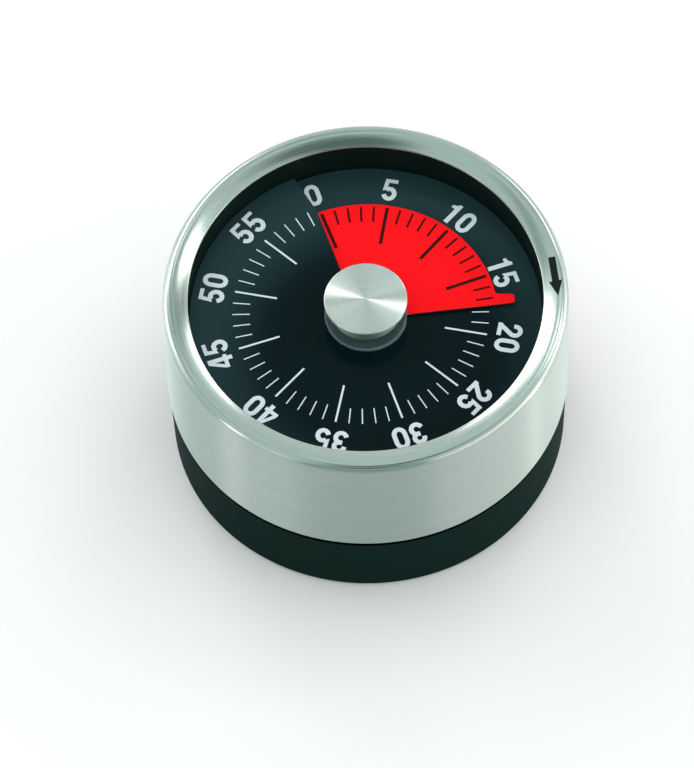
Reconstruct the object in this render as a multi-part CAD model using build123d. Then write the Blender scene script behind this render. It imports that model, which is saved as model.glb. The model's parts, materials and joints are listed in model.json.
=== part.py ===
"""A sixty-minute drum timer with a red disc that grows through a slit in its dial.

Millimetres, +Z up. The origin is the centre of the face that the timer stands on, and -Y is its front.
The minutes run clockwise seen from above. The red disc stands at SET_MINUTES.
"""
from build123d import *
import os
from math import acos, cos, degrees, hypot, pi, radians, sin, tan, atan2

os.makedirs("parts", exist_ok=True)

# How far a cut runs past the faces that it opens, and the spare ends of a sheet that cuts trim
CUT = 1.0
SPARE_ANGLE = 24

# Steel case: a drawn drum with a lip that slopes down inwards
CASE_RADIUS = 38.8
CASE_WALL = 0.6
CASE_CORNER = 1.0
LIP_WIDTH = 4.8
LIP_DROP = 1.0
LIP_EDGE_ROUND = 0.2
SHADOW_GAP = 1.2
BOND_GAP = 0.1

# Moulded base with its spigot, bosses and posts, and the rubber ring that it stands on
BASE_HEIGHT = 16.5
BASE_STEP = 0.2
BASE_DRAFT = 0.5
BASE_WALL = 2.0
BASE_FLOOR = 2.2
BASE_EDGE = 0.8
SPIGOT_HEIGHT = 5.2
SPIGOT_WALL = 1.6
FOOT_THICK = 1.2
FOOT_PROUD = 0.3
FOOT_COVER = 0.3
BOSS_RADIUS = 4.0
BOSS_ANGLES = (30, 150, 270)
POST_RADIUS = 2.6
POST_HEIGHT = 11.25
POST_ANGLES = (15, 130, 260)

# Screws, with the play round them
SCREW_RADIUS = 1.2
SCREW_HEAD_RADIUS = 2.3
SCREW_HEAD_HEIGHT = 1.2
SCREW_BITE = 7.0
SCREW_SLOT = 0.6
SCREW_PLAY = 0.04
HEAD_PLAY = 0.3
HEAD_SEAT = 3.0

# Moulded liner: the black wall round the dial, the ledge under it and the columns that the screws hold
LINER_WALL = 1.4
EDGE_PROUD = 0.2
LEDGE_WIDTH = 3.4
LEDGE_THICK = 1.5
LEDGE_FLAT = 0.3
LEDGE_SWEEP = 350
COLUMN_RADIUS = 2.4
SKIRT_GAP = 0.3

# Dial and red disc: two slit sheets that climb by one pitch in a turn, so that one screws through the other
DISC_PITCH = 1.6
DIAL_THICK = 0.4
RED_THICK = 0.3
DIAL_MARGIN = 0.4
DIAL_HOLE_GAP = 0.2
DIAL_ZERO = 107.0
MINUTE_ANGLE = 6
SET_MINUTES = 17
DIAL_DEPTH = 8.2
SLIT_OFFSET = 1.44
SLIT_KNEE = 24.9
SLIT_LEAN = 12
SLIT_LAP = 1.5
GLUE = 0.05
NUMERAL_BAND = 8.6
RED_EDGE_OFFSET = 0.85
RED_SLIT = 1.2
TAB_LENGTH = 3.5
TAB_ROOT = 2.4
TAB_TIP = 1.9
TAB_ROUND = 0.4

# Knob and the clear hub that carries the red disc up and down the spindle's flat
KNOB_RADIUS = 7.97
KNOB_FLANGE = 0.8
KNOB_NECK = 6.8
KNOB_SINK = 0.6
KNOB_CHAMFER = 0.2
KNOB_ROOF = 1.1
HUB_RADIUS = 7.8
HUB_MARGIN = 0.3
SPINDLE_RADIUS = 2.0
SPINDLE_FLAT = 1.5
SPINDLE_PIVOT = 1.2
FIXED_FIT = 0.02
SLIDE_FIT = 0.06
RUN_FIT = 0.05
RUN_GAP = 0.5

# Movement plates and pillars
PLATE_THICK = 1.0
PLATE_MARGIN = 2.8
PILLAR_RADIUS = 1.8
PILLAR_STUD = 1.0
PILLAR_INSET = 3.5
PILLAR_ANGLES = (60, 150, 330)
POST_INSET = 2.0
NUT_ACROSS = 4.0
NUT_HEIGHT = 1.6
BUSH_WALL = 1.2
BUSH_FLANGE = 0.8
END_SHAKE = 0.15

# Mainspring
SPRING_WIDTH = 6.0
SPRING_STRIP = 0.25
SPRING_TURNS = 8
SPRING_STEP = 1.0
SPRING_START = 2.7
SPRING_GAP = 1.0

# Wheels of the train: module, teeth and thickness, and windows as shares of the pitch radius
MAIN_MODULE = 0.45
MAIN_TEETH = 60
SECOND_MODULE = 0.40
SECOND_TEETH = 50
THIRD_MODULE = 0.35
THIRD_TEETH = 40
PINION_TEETH = 10
PINION_OVERLAP = 0.5
WHEEL_THICK = 1.2
WHEEL_GAP = 1.0
WINDOW_COUNT = 5
WINDOW_CIRCLE = 0.56
WINDOW_SIZE = 0.24
PRESSURE_ANGLE = 25
ADDENDUM = 0.8
DEDENDUM = 1.1
BACKLASH = 0.16
ARBOR_RADIUS = 0.8
PIVOT_RADIUS = 0.45
SECOND_ANGLE = 200
THIRD_TURN = 108.3
ESCAPE_TURN = 131.2

# Clutch spring and alarm cam above the main wheel
CLUTCH_RADIUS = 5.5
CLUTCH_STRIP = 0.3
CLUTCH_RISE = 0.4
CAM_RADIUS = 5.0
CAM_THICK = 0.8
CAM_NOTCH = 1.6

# Escapement, with the back and front of a tooth's root as shares of the step
ESCAPE_RADIUS = 5.0
ESCAPE_TEETH = 20
ESCAPE_DEPTH = 1.1
ESCAPE_BACK = 0.15
ESCAPE_FRONT = 0.75
ESCAPE_THICK = 0.8
PALLET_DISTANCE = 7.5
PALLET_ANGLE = 4.5
PALLET_SPREAD = 50
PALLET_PIN = 0.35
PALLET_SWING = 4
PALLET_GAP = 0.25
PALLET_THICK = 0.8
PALLET_ARM = 1.0
PALLET_HUB = 1.7
BALANCE_RADIUS = 6.0
BALANCE_RIM = 1.4
BALANCE_THICK = 0.8

# Bell, hammer and the arm that the cam trips: the bell's room inside the posts is where the hammer swings
BELL_ROOM = 5.6
BELL_WALL = 0.8
BELL_HEIGHT = 5.8
BELL_SHOULDER = 3.0
BELL_POST_RADIUS = 3.5
BELL_CLEARANCE = 1.7
HAMMER_STANDOFF = 5.0
HAMMER_ANGLE = 110
HAMMER_HEAD = 1.5
HAMMER_SPREAD = 22
HAMMER_GAP = 0.4
HAMMER_THICK = 1.6
HAMMER_ARM = 1.4
TRIP_GAP = 0.6
TRIP_ARM = 1.2

UP = (Align.CENTER, Align.CENTER, Align.MIN)

# Heights, from the floor up: the base, the movement's stack, the dial over it and the lip over the dial
floor_top = FOOT_PROUD + BASE_FLOOR
case_bottom = BASE_HEIGHT + SHADOW_GAP
plate_low = floor_top + POST_HEIGHT
plate_low_top = plate_low + PLATE_THICK
spring_low = plate_low_top + SPRING_GAP
spring_top = spring_low + SPRING_WIDTH
main_low = spring_top + 2 * SPRING_GAP
main_top = main_low + WHEEL_THICK
clutch_top = main_top + CLUTCH_RISE + CLUTCH_STRIP
cam_low = clutch_top
cam_top = cam_low + CAM_THICK
second_low = cam_top + WHEEL_GAP
second_top = second_low + WHEEL_THICK
third_low = second_top + WHEEL_GAP
third_top = third_low + WHEEL_THICK
plate_high = third_top + WHEEL_GAP + PINION_OVERLAP
plate_high_top = plate_high + PLATE_THICK
escape_low = spring_low + SPRING_WIDTH / 2
escape_top = escape_low + ESCAPE_THICK

# The red sheet lies midway between the dial's two flanks
red_offset = DIAL_THICK + (DISC_PITCH - DIAL_THICK - RED_THICK) / 2
set_angle = MINUTE_ANGLE * SET_MINUTES
set_rise = DISC_PITCH * set_angle / 360
hub_height = DISC_PITCH + RED_THICK + 2 * HUB_MARGIN
hub_lowest = plate_high_top + NUT_HEIGHT + RUN_GAP
dial_zero_z = hub_lowest + HUB_MARGIN + DISC_PITCH - red_offset
hub_low = hub_lowest + set_rise
hub_highest = hub_lowest + DISC_PITCH + hub_height
lip_edge = dial_zero_z + DIAL_DEPTH
knob_top = lip_edge - KNOB_SINK
knob_bottom = hub_highest + RUN_GAP
spindle_top = knob_top - KNOB_ROOF

# Radii, from the case inwards
lip_radius = CASE_RADIUS - LIP_WIDTH
lip_slope = atan2(LIP_DROP, LIP_WIDTH)
case_inside = CASE_RADIUS - CASE_WALL
skirt_radius = case_inside - BOND_GAP
base_top_radius = CASE_RADIUS - BASE_STEP
base_foot_radius = base_top_radius - BASE_DRAFT
liner_bore = lip_radius + EDGE_PROUD
dial_radius = liner_bore - DIAL_MARGIN
ledge_radius = liner_bore - LEDGE_WIDTH
red_radius = dial_radius - NUMERAL_BAND
tab_radius = red_radius + TAB_LENGTH
dial_hole = HUB_RADIUS + DIAL_HOLE_GAP
boss_circle = skirt_radius - LINER_WALL - COLUMN_RADIUS - SKIRT_GAP
plate_radius = boss_circle - BOSS_RADIUS - PLATE_MARGIN
post_circle = plate_radius - POST_INSET
pillar_circle = plate_radius - PILLAR_INSET
bell_radius = post_circle - POST_RADIUS - BELL_ROOM
hammer_radius = bell_radius + HAMMER_STANDOFF
train_bore = ARBOR_RADIUS + FIXED_FIT
trim_width = dial_radius * sin(radians(SPARE_ANGLE))
foot_half = SCREW_HEAD_RADIUS + HEAD_PLAY + FOOT_COVER
boss_top = case_bottom


def polar(radius, angle):
    """Point in plan at a radius and an angle in degrees, counter-clockwise from +X."""
    return (radius * cos(radians(angle)), radius * sin(radians(angle)))


def step_from(point, distance, angle):
    """Point in plan at a distance and an angle from another point."""
    dx, dy = polar(distance, angle)
    return (point[0] + dx, point[1] + dy)


def bearing(start, end):
    """Angle in degrees from one point in plan to another."""
    return degrees(atan2(end[1] - start[1], end[0] - start[0]))


def rod(radius, low, high, at=(0, 0)):
    """Upright cylinder between two heights."""
    return Pos(*at, low) * Cylinder(radius, high - low, align=UP)


def ring(outer, inner, low, high, at=(0, 0)):
    """Upright ring between two heights."""
    return rod(outer, low, high, at) - rod(inner, low - CUT, high + CUT, at)


def prism(outline, low, high, at=(0, 0), turn=0):
    """Flat outline made solid between two heights, turned about its own origin."""
    return Pos(*at, low) * (Rot(0, 0, turn) * extrude(outline, high - low))


def turned(points, rounds=()):
    """Solid of revolution about Z from (radius, height) corners. Rounds are (corner, radius) pairs."""
    face = Face(Wire.make_polygon([(r, 0, z) for r, z in points], close=True))
    for (r, z), radius in rounds:
        corner = face.vertices().sort_by_distance((r, 0, z))[0]
        face = face.fillet_2d(radius, [corner])
    return revolve(face, Axis.Z)


def bar(start, end, width):
    """Flat bar with round ends between two points in plan."""
    length = hypot(end[0] - start[0], end[1] - start[1])
    middle = ((start[0] + end[0]) / 2, (start[1] + end[1]) / 2)
    straight = Pos(*middle) * (Rot(0, 0, bearing(start, end)) * Rectangle(length, width))
    return straight + Pos(*start) * Circle(width / 2) + Pos(*end) * Circle(width / 2)


def flatted(radius, flat):
    """Round section with one flat on its +X side."""
    return Circle(radius) & (Pos(flat - 2 * radius, 0) * Rectangle(4 * radius, 4 * radius))


def slab(angle, across, low, high):
    """Block beside a radial of the dial, between two offsets counter-clockwise of it."""
    reach = 2 * CASE_RADIUS
    block = Box(reach, across[1] - across[0], high - low, align=(Align.MIN, Align.MIN, Align.MIN))
    return Rot(0, 0, angle) * (Pos(0, across[0], low) * block)


def climbing_sheet(inner, outer, start, sweep, thick, zero_z):
    """Sheet that climbs clockwise by one pitch in a turn. Angles are clockwise of the dial's zero."""
    rise = DISC_PITCH * sweep / 360
    edges = [Edge.make_helix(DISC_PITCH, rise, radius, lefthand=True) for radius in (inner, outer)]
    solid = Solid.extrude(Face.make_surface_from_curves(*edges), Vector(0, 0, thick))
    return Pos(0, 0, zero_z + DISC_PITCH * start / 360) * (Rot(0, 0, DIAL_ZERO - start) * solid)


def involute(angle):
    """Involute function of a pressure angle in radians."""
    return tan(angle) - angle


def gear_outline(module, teeth):
    """Outline of a spur gear with one tooth on +X, thinned by half the backlash."""
    pitch = module * teeth / 2
    base = pitch * cos(radians(PRESSURE_ANGLE))
    root = pitch - DEDENDUM * module
    tip = pitch + ADDENDUM * module
    half = pi / (2 * teeth) - BACKLASH / (4 * pitch) + involute(radians(PRESSURE_ANGLE))
    radii = sorted({root, max(root, base), pitch, tip})
    flank = [(r, half - involute(acos(min(1, base / r)))) for r in radii]
    points = []
    for tooth in range(teeth):
        middle = 2 * pi * tooth / teeth
        for r, turn in flank:
            points.append((r * cos(middle - turn), r * sin(middle - turn)))
        for r, turn in reversed(flank):
            points.append((r * cos(middle + turn), r * sin(middle + turn)))
    return make_face(Polyline(*points, close=True))


def wheel(module, teeth, bore, low, at, toward):
    """Train wheel with round windows and one tooth pointing at an angle."""
    pitch = module * teeth / 2
    windows = PolarLocations(WINDOW_CIRCLE * pitch, WINDOW_COUNT) * Circle(WINDOW_SIZE * pitch)
    outline = gear_outline(module, teeth) - Circle(bore) - windows
    return prism(outline, low, low + WHEEL_THICK, at, toward)


def pinion(module, low, at, toward):
    """Ten-leaf pinion with one gap pointing at an angle, longer than the wheel that drives it."""
    outline = gear_outline(module, PINION_TEETH) - Circle(train_bore)
    turn = toward + 180 / PINION_TEETH
    return prism(outline, low - PINION_OVERLAP, low + WHEEL_THICK + PINION_OVERLAP, at, turn)


def arbor(at):
    """Train arbor with a pivot in each plate."""
    body_low = plate_low_top + END_SHAKE
    body_high = plate_high - END_SHAKE
    body = rod(ARBOR_RADIUS, body_low, body_high, at)
    return body + rod(PIVOT_RADIUS, plate_low - END_SHAKE, plate_high_top + END_SHAKE, at)


# Plan of the train
main_at = (0, 0)
second_at = polar(MAIN_MODULE * (MAIN_TEETH + PINION_TEETH) / 2, SECOND_ANGLE)
third_reach = SECOND_MODULE * (SECOND_TEETH + PINION_TEETH) / 2
third_at = step_from(second_at, third_reach, SECOND_ANGLE + THIRD_TURN)
escape_reach = THIRD_MODULE * (THIRD_TEETH + PINION_TEETH) / 2
escape_at = step_from(third_at, escape_reach, SECOND_ANGLE + ESCAPE_TURN)
pallet_at = step_from(escape_at, PALLET_DISTANCE, PALLET_ANGLE)
hammer_at = polar(hammer_radius, HAMMER_ANGLE)


def make_steel_case():
    """Drawn drum with a rounded corner and an inward lip of even wall."""
    drop = CASE_WALL / cos(lip_slope)
    corner = (CASE_RADIUS, lip_edge + LIP_DROP)
    lip_top = (lip_radius, lip_edge)
    lip_under = (lip_radius, lip_edge - drop)
    inner_corner = (case_inside, lip_edge + (case_inside - lip_radius) * tan(lip_slope) - drop)
    rim = [(case_inside, case_bottom), (CASE_RADIUS, case_bottom)]
    points = rim + [corner, lip_top, lip_under, inner_corner]
    rounds = [
        (corner, CASE_CORNER),
        (inner_corner, CASE_CORNER - CASE_WALL),
        (lip_top, LIP_EDGE_ROUND),
        (lip_under, LIP_EDGE_ROUND),
    ]
    return turned(points, rounds)


def make_base_shell():
    """Tapered cup with a spigot for the case, screw bosses, and posts for the movement and the bell."""
    spigot_top = BASE_HEIGHT + SPIGOT_HEIGHT
    spigot_inside = skirt_radius - SPIGOT_WALL
    inside_foot = base_foot_radius - BASE_WALL
    edge = (base_foot_radius, FOOT_PROUD)
    points = [
        (0, FOOT_PROUD),
        edge,
        (base_top_radius, BASE_HEIGHT),
        (skirt_radius, BASE_HEIGHT),
        (skirt_radius, spigot_top),
        (spigot_inside, spigot_top),
        (spigot_inside, BASE_HEIGHT),
        (inside_foot, floor_top),
        (0, floor_top),
    ]
    shell = turned(points, [(edge, BASE_EDGE)])
    shell -= ring(boss_circle + foot_half, boss_circle - foot_half, FOOT_PROUD - CUT, FOOT_THICK)
    shell += rod(BELL_POST_RADIUS, floor_top, bell_crown())
    shell -= rod(SCREW_RADIUS + SCREW_PLAY, bell_crown() - SCREW_BITE, bell_crown() + CUT)
    for angle in POST_ANGLES:
        at = polar(post_circle, angle)
        shell += rod(POST_RADIUS, floor_top, plate_low, at)
        shell -= rod(SCREW_RADIUS + SCREW_PLAY, plate_low - SCREW_BITE, plate_low + CUT, at)
    for angle in BOSS_ANGLES:
        at = polar(boss_circle, angle)
        shell += rod(BOSS_RADIUS, floor_top, BASE_HEIGHT, at) + rod(COLUMN_RADIUS, floor_top, boss_top, at)
        shell -= rod(SCREW_HEAD_RADIUS + HEAD_PLAY, FOOT_PROUD, boss_top - HEAD_SEAT, at)
        shell -= rod(SCREW_RADIUS + SCREW_PLAY, FOOT_PROUD, boss_top + CUT, at)
    return shell


def make_foot_ring():
    """Rubber ring in the groove under the base, over the case screws."""
    half = foot_half - BOND_GAP
    return ring(boss_circle + half, boss_circle - half, 0, FOOT_THICK)


def make_liner():
    """Hollow-section ring under the lip, with the climbing ledge for the dial and three screw columns."""

    def under_lip(radius):
        return lip_edge + (radius - lip_radius) * tan(lip_slope) - (CASE_WALL + BOND_GAP) / cos(lip_slope)

    wall_outside = liner_bore + LINER_WALL
    skirt_inside = skirt_radius - LINER_WALL
    ledge_low = dial_zero_z - LEDGE_FLAT - LEDGE_THICK
    skirt_low = BASE_HEIGHT + SPIGOT_HEIGHT + SKIRT_GAP
    points = [
        (ledge_radius, ledge_low),
        (wall_outside, ledge_low),
        (wall_outside, under_lip(wall_outside) - LINER_WALL),
        (skirt_inside, under_lip(skirt_inside) - LINER_WALL),
        (skirt_inside, skirt_low),
        (skirt_radius, skirt_low),
        (skirt_radius, under_lip(skirt_radius) - CASE_CORNER / 2),
        (skirt_radius - CASE_CORNER / 2, under_lip(skirt_radius - CASE_CORNER / 2)),
        (liner_bore, under_lip(liner_bore)),
        (liner_bore, ledge_low + LEDGE_THICK),
        (ledge_radius, ledge_low + LEDGE_THICK),
    ]
    liner = turned(points)
    ramp_outside = liner_bore + LINER_WALL / 2
    ramp_zero_z = dial_zero_z - DISC_PITCH - GLUE
    ramp = climbing_sheet(ledge_radius + BOND_GAP, ramp_outside, 0, LEDGE_SWEEP, DISC_PITCH, ramp_zero_z)
    ramp &= rod(CASE_RADIUS, ledge_low + LEDGE_THICK / 2, lip_edge)
    liner += ramp
    for angle in BOSS_ANGLES:
        at = polar(boss_circle, angle)
        liner += rod(COLUMN_RADIUS, boss_top, ledge_low + LEDGE_THICK / 2, at)
        liner -= rod(SCREW_RADIUS + SCREW_PLAY, boss_top - CUT, boss_top + SCREW_BITE + CUT, at)
    return liner


def make_dial():
    """Climbing sheet, slit beside the zero, whose low flank laps under its high flank.

    The slit runs beside the zero's radial as far as its knee, and leans away from the numeral past it.
    """
    low = dial_zero_z - DISC_PITCH
    middle = dial_zero_z + DISC_PITCH / 2
    lean_offset = SLIT_OFFSET * cos(radians(SLIT_LEAN)) - SLIT_KNEE * sin(radians(SLIT_LEAN))
    sheet = climbing_sheet(dial_hole, dial_radius, -SPARE_ANGLE, 360 + SPARE_ANGLE, DIAL_THICK, dial_zero_z)
    beyond = None
    for angle, offset in ((DIAL_ZERO, SLIT_OFFSET), (DIAL_ZERO + SLIT_LEAN, lean_offset)):
        sheet -= slab(angle, (offset - trim_width, offset), middle, lip_edge)
        lap_end = offset + SLIT_LAP
        block = slab(angle, (lap_end, lap_end + trim_width), low, middle)
        beyond = beyond & block if beyond else block
    return sheet - beyond


def make_red_disc():
    """Climbing sheet with a straight leading edge, a pointer tab on it, and a slit behind that edge."""
    edge_angle = DIAL_ZERO - set_angle
    inner = HUB_RADIUS + GLUE
    zero_z = dial_zero_z + red_offset
    sheet = climbing_sheet(inner, tab_radius, set_angle - 360, 360 + SPARE_ANGLE, RED_THICK, zero_z)
    edge_z = zero_z + set_rise
    middle = edge_z - DISC_PITCH / 2
    tip = [(tab_radius, -RED_EDGE_OFFSET), (tab_radius, TAB_TIP - RED_EDGE_OFFSET)]
    root = [(red_radius, TAB_ROOT - RED_EDGE_OFFSET), (0, TAB_ROOT - RED_EDGE_OFFSET)]
    tab = make_face(Polyline((0, -RED_EDGE_OFFSET), *tip, *root, close=True))
    tab = fillet(tab.vertices().group_by(Axis.X)[-1], TAB_ROUND)
    outline = Circle(red_radius) + Rot(0, 0, edge_angle) * tab
    sheet &= prism(outline, edge_z - 2 * DISC_PITCH, edge_z + DISC_PITCH)
    sheet -= slab(edge_angle, (-trim_width, -RED_EDGE_OFFSET), middle, edge_z + DISC_PITCH)
    slit_end = -RED_EDGE_OFFSET - RED_SLIT
    sheet -= slab(edge_angle, (slit_end, slit_end + trim_width), middle - 2 * DISC_PITCH, middle)
    return sheet


def make_disc_hub():
    """Clear hub that slides on the spindle's flat."""
    bore = flatted(SPINDLE_RADIUS + SLIDE_FIT, SPINDLE_FLAT + SLIDE_FIT)
    return prism(Circle(HUB_RADIUS) - bore, hub_low, hub_low + hub_height)


def make_knob():
    """Turned knob: a thin flange on a narrower neck, with a flatted blind bore."""
    points = [
        (0, knob_bottom),
        (KNOB_NECK, knob_bottom),
        (KNOB_NECK, knob_top - KNOB_FLANGE),
        (KNOB_RADIUS, knob_top - KNOB_FLANGE),
        (KNOB_RADIUS, knob_top - KNOB_CHAMFER),
        (KNOB_RADIUS - KNOB_CHAMFER, knob_top),
        (0, knob_top),
    ]
    bore = flatted(SPINDLE_RADIUS + FIXED_FIT, SPINDLE_FLAT + FIXED_FIT)
    return turned(points) - prism(bore, knob_bottom - CUT, spindle_top + FIXED_FIT)


def make_spindle():
    """Main arbor: a pivot in the low plate, a round body and a flatted upper end."""
    shoulder = plate_low_top + END_SHAKE
    flat_low = plate_high_top + BUSH_FLANGE + END_SHAKE
    pivot = rod(SPINDLE_PIVOT, plate_low - END_SHAKE, shoulder)
    body = rod(SPINDLE_RADIUS, shoulder, flat_low)
    return pivot + body + prism(flatted(SPINDLE_RADIUS, SPINDLE_FLAT), flat_low, spindle_top)


def make_bush():
    """Flanged bush for the spindle in the high plate."""
    outer = SPINDLE_RADIUS + RUN_FIT + BUSH_WALL
    bush = rod(outer - FIXED_FIT, plate_high, plate_high_top) + rod(
        outer + BUSH_FLANGE, plate_high_top, plate_high_top + BUSH_FLANGE
    )
    return bush - rod(SPINDLE_RADIUS + RUN_FIT, plate_high - CUT, plate_high_top + BUSH_FLANGE + CUT)


def plate(low, pivots, holes):
    """Round movement plate with its pivot and fixing holes."""
    disc = rod(plate_radius, low, low + PLATE_THICK)
    for at, radius in pivots + holes:
        disc -= rod(radius, low - CUT, low + PLATE_THICK + CUT, at)
    return disc


def train_pivots():
    """Pivot holes that both plates share."""
    places = (second_at, third_at, escape_at, pallet_at)
    return [(at, PIVOT_RADIUS + RUN_FIT) for at in places] + [(hammer_at, ARBOR_RADIUS + RUN_FIT)]


def pillar_holes():
    """Stud holes for the pillars."""
    return [(polar(pillar_circle, angle), PILLAR_STUD + FIXED_FIT) for angle in PILLAR_ANGLES]


def make_bottom_plate():
    """Low plate, screwed to the posts of the base."""
    pivots = train_pivots() + [(main_at, SPINDLE_PIVOT + RUN_FIT)]
    screws = [(polar(post_circle, angle), SCREW_RADIUS + SCREW_PLAY) for angle in POST_ANGLES]
    return plate(plate_low, pivots, pillar_holes() + screws)


def make_top_plate():
    """High plate, held on the pillars by nuts, open over the movement screws."""
    bush_hole = (main_at, SPINDLE_RADIUS + RUN_FIT + BUSH_WALL)
    screws = [(polar(post_circle, angle), SCREW_HEAD_RADIUS + HEAD_PLAY) for angle in POST_ANGLES]
    return plate(plate_high, train_pivots() + [bush_hole], pillar_holes() + screws)


def make_pillars():
    """Three pillars with a stud at each end."""
    pillars = []
    for angle in PILLAR_ANGLES:
        at = polar(pillar_circle, angle)
        stud = rod(PILLAR_STUD, plate_low, plate_high_top + NUT_HEIGHT, at)
        pillars.append(rod(PILLAR_RADIUS, plate_low_top, plate_high, at) + stud)
    return Compound(pillars)


def make_pillar_nuts():
    """Three hexagon nuts on the high plate."""
    outline = RegularPolygon(NUT_ACROSS / 2, 6, major_radius=False) - Circle(PILLAR_STUD + FIXED_FIT)
    places = [polar(pillar_circle, angle) for angle in PILLAR_ANGLES]
    return Compound([prism(outline, plate_high_top, plate_high_top + NUT_HEIGHT, at) for at in places])


def screw(at, seat, length, up):
    """Slotted screw with its head's bearing face at a height, pointing up or down."""
    head = Circle(SCREW_HEAD_RADIUS) - Rectangle(2 * SCREW_HEAD_RADIUS, SCREW_SLOT)
    if up:
        whole = Circle(SCREW_HEAD_RADIUS)
        body = prism(whole, seat - SCREW_HEAD_HEIGHT / 2, seat, at)
        body += rod(SCREW_RADIUS, seat, seat + length, at)
        return body + prism(head, seat - SCREW_HEAD_HEIGHT, seat - SCREW_HEAD_HEIGHT / 2, at)
    body = rod(SCREW_HEAD_RADIUS, seat, seat + SCREW_HEAD_HEIGHT / 2, at)
    body += rod(SCREW_RADIUS, seat - length, seat, at)
    return body + prism(head, seat + SCREW_HEAD_HEIGHT / 2, seat + SCREW_HEAD_HEIGHT, at)


def make_movement_screws():
    """Screws that hold the low plate on the posts."""
    length = PLATE_THICK + SCREW_BITE - RUN_GAP
    return Compound([screw(polar(post_circle, a), plate_low_top, length, False) for a in POST_ANGLES])


def make_case_screws():
    """Screws from under the base into the liner's columns."""
    length = HEAD_SEAT + SCREW_BITE
    return Compound([screw(polar(boss_circle, a), boss_top - HEAD_SEAT, length, True) for a in BOSS_ANGLES])


def make_mainspring():
    """Spiral strip of half circles about two centres in turn, clear of the spindle."""
    half_step = SPRING_STEP / 2
    lines = []
    for side in (-1, 1):
        for index in range(2 * SPRING_TURNS):
            centre = (half_step * (index % 2), 0)
            radius = SPRING_START + half_step * index + side * SPRING_STRIP / 2
            lines.append(CenterArc(centre, radius, 180 * (index % 2), 180))
    first = SPRING_START
    last_index = 2 * SPRING_TURNS - 1
    last = SPRING_START + half_step * last_index
    last_x = half_step * (last_index % 2) + last * cos(radians(180 * (last_index % 2) + 180))
    lines.append(Line((first - SPRING_STRIP / 2, 0), (first + SPRING_STRIP / 2, 0)))
    lines.append(Line((last_x - SPRING_STRIP / 2, 0), (last_x + SPRING_STRIP / 2, 0)))
    return prism(make_face(Wire.combine(lines)[0]), spring_low, spring_top)


def make_main_wheel():
    """Brass great wheel on the spindle."""
    bore = SPINDLE_RADIUS + FIXED_FIT
    return wheel(MAIN_MODULE, MAIN_TEETH, bore, main_low, main_at, SECOND_ANGLE)


def make_clutch_spring():
    """Dished washer between the main wheel and the cam, so that winding slips past the train."""
    inner = SPINDLE_RADIUS + FIXED_FIT
    points = [
        (CLUTCH_RADIUS, main_top),
        (CLUTCH_RADIUS, main_top + CLUTCH_STRIP),
        (inner, clutch_top),
        (inner, clutch_top - CLUTCH_STRIP),
    ]
    return turned(points)


def make_alarm_cam():
    """Cam with one notch, which lets the trip arm drop at zero."""
    notch = Pos(*polar(CAM_RADIUS, DIAL_ZERO - set_angle)) * Circle(CAM_NOTCH)
    outline = Circle(CAM_RADIUS) - notch - Circle(SPINDLE_RADIUS + FIXED_FIT)
    return prism(outline, cam_low, cam_top)


def make_escape_wheel():
    """Pointed-tooth escape wheel."""
    step = 360 / ESCAPE_TEETH
    root = ESCAPE_RADIUS - ESCAPE_DEPTH
    points = []
    for tooth in range(ESCAPE_TEETH):
        points.append(polar(ESCAPE_RADIUS, step * tooth))
        points.append(polar(root, step * (tooth + ESCAPE_BACK)))
        points.append(polar(root, step * (tooth + ESCAPE_FRONT)))
    outline = make_face(Polyline(*points, close=True)) - Circle(train_bore)
    return prism(outline, escape_low, escape_top, escape_at)


def make_pallet_lever():
    """Two-armed lever over the escape wheel, with a pin that hangs beside the teeth on each arm."""
    travel = PALLET_DISTANCE * radians(PALLET_SWING)
    reach = ESCAPE_RADIUS + PALLET_PIN + travel + PALLET_GAP
    low = escape_top + PALLET_GAP
    outline = Pos(*pallet_at) * Circle(PALLET_HUB)
    pins = []
    for side in (-1, 1):
        pin_at = step_from(escape_at, reach, PALLET_ANGLE + side * PALLET_SPREAD)
        outline += bar(pallet_at, pin_at, PALLET_ARM)
        pins.append(rod(PALLET_PIN, escape_low - PALLET_GAP, low + PALLET_THICK, pin_at))
    outline -= Pos(*pallet_at) * Circle(train_bore)
    return prism(outline, low, low + PALLET_THICK) + pins[0] + pins[1]


def make_balance_wheel():
    """Two-spoked balance on the pallet arbor."""
    spoke = Rectangle(2 * BALANCE_RADIUS - BALANCE_RIM, BALANCE_RIM)
    outline = Circle(BALANCE_RADIUS) - Circle(BALANCE_RADIUS - BALANCE_RIM) + spoke + Circle(PALLET_HUB)
    outline -= Circle(train_bore)
    return prism(outline, cam_low, cam_low + BALANCE_THICK, pallet_at)


def bell_crown():
    """Height of the post's top, which the bell's crown sits on."""
    return floor_top + BELL_CLEARANCE + BELL_HEIGHT - BELL_WALL


def make_bell():
    """Steel cup, open downwards, on its post in the base."""
    low = floor_top + BELL_CLEARANCE
    top = low + BELL_HEIGHT
    inside = bell_radius - BELL_WALL
    hole = SCREW_RADIUS + SCREW_PLAY
    shoulder = (bell_radius, top)
    hollow = (inside, top - BELL_WALL)
    points = [(inside, low), (bell_radius, low), shoulder, (hole, top), (hole, top - BELL_WALL), hollow]
    return turned(points, [(shoulder, BELL_SHOULDER), (hollow, BELL_SHOULDER - BELL_WALL)])


def make_bell_screw():
    """Screw that holds the bell on its post."""
    return screw((0, 0), bell_crown() + BELL_WALL, BELL_WALL + SCREW_BITE - RUN_GAP, False)


def make_hammer():
    """Arm and round head beside the bell's skirt."""
    low = floor_top + BELL_CLEARANCE
    head_at = polar(bell_radius + HAMMER_GAP + HAMMER_HEAD, HAMMER_ANGLE + HAMMER_SPREAD)
    outline = bar(hammer_at, head_at, HAMMER_ARM) + Pos(*head_at) * Circle(HAMMER_HEAD)
    outline += Pos(*hammer_at) * Circle(PALLET_HUB)
    outline -= Pos(*hammer_at) * Circle(train_bore)
    return prism(outline, low, low + HAMMER_THICK)


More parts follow.
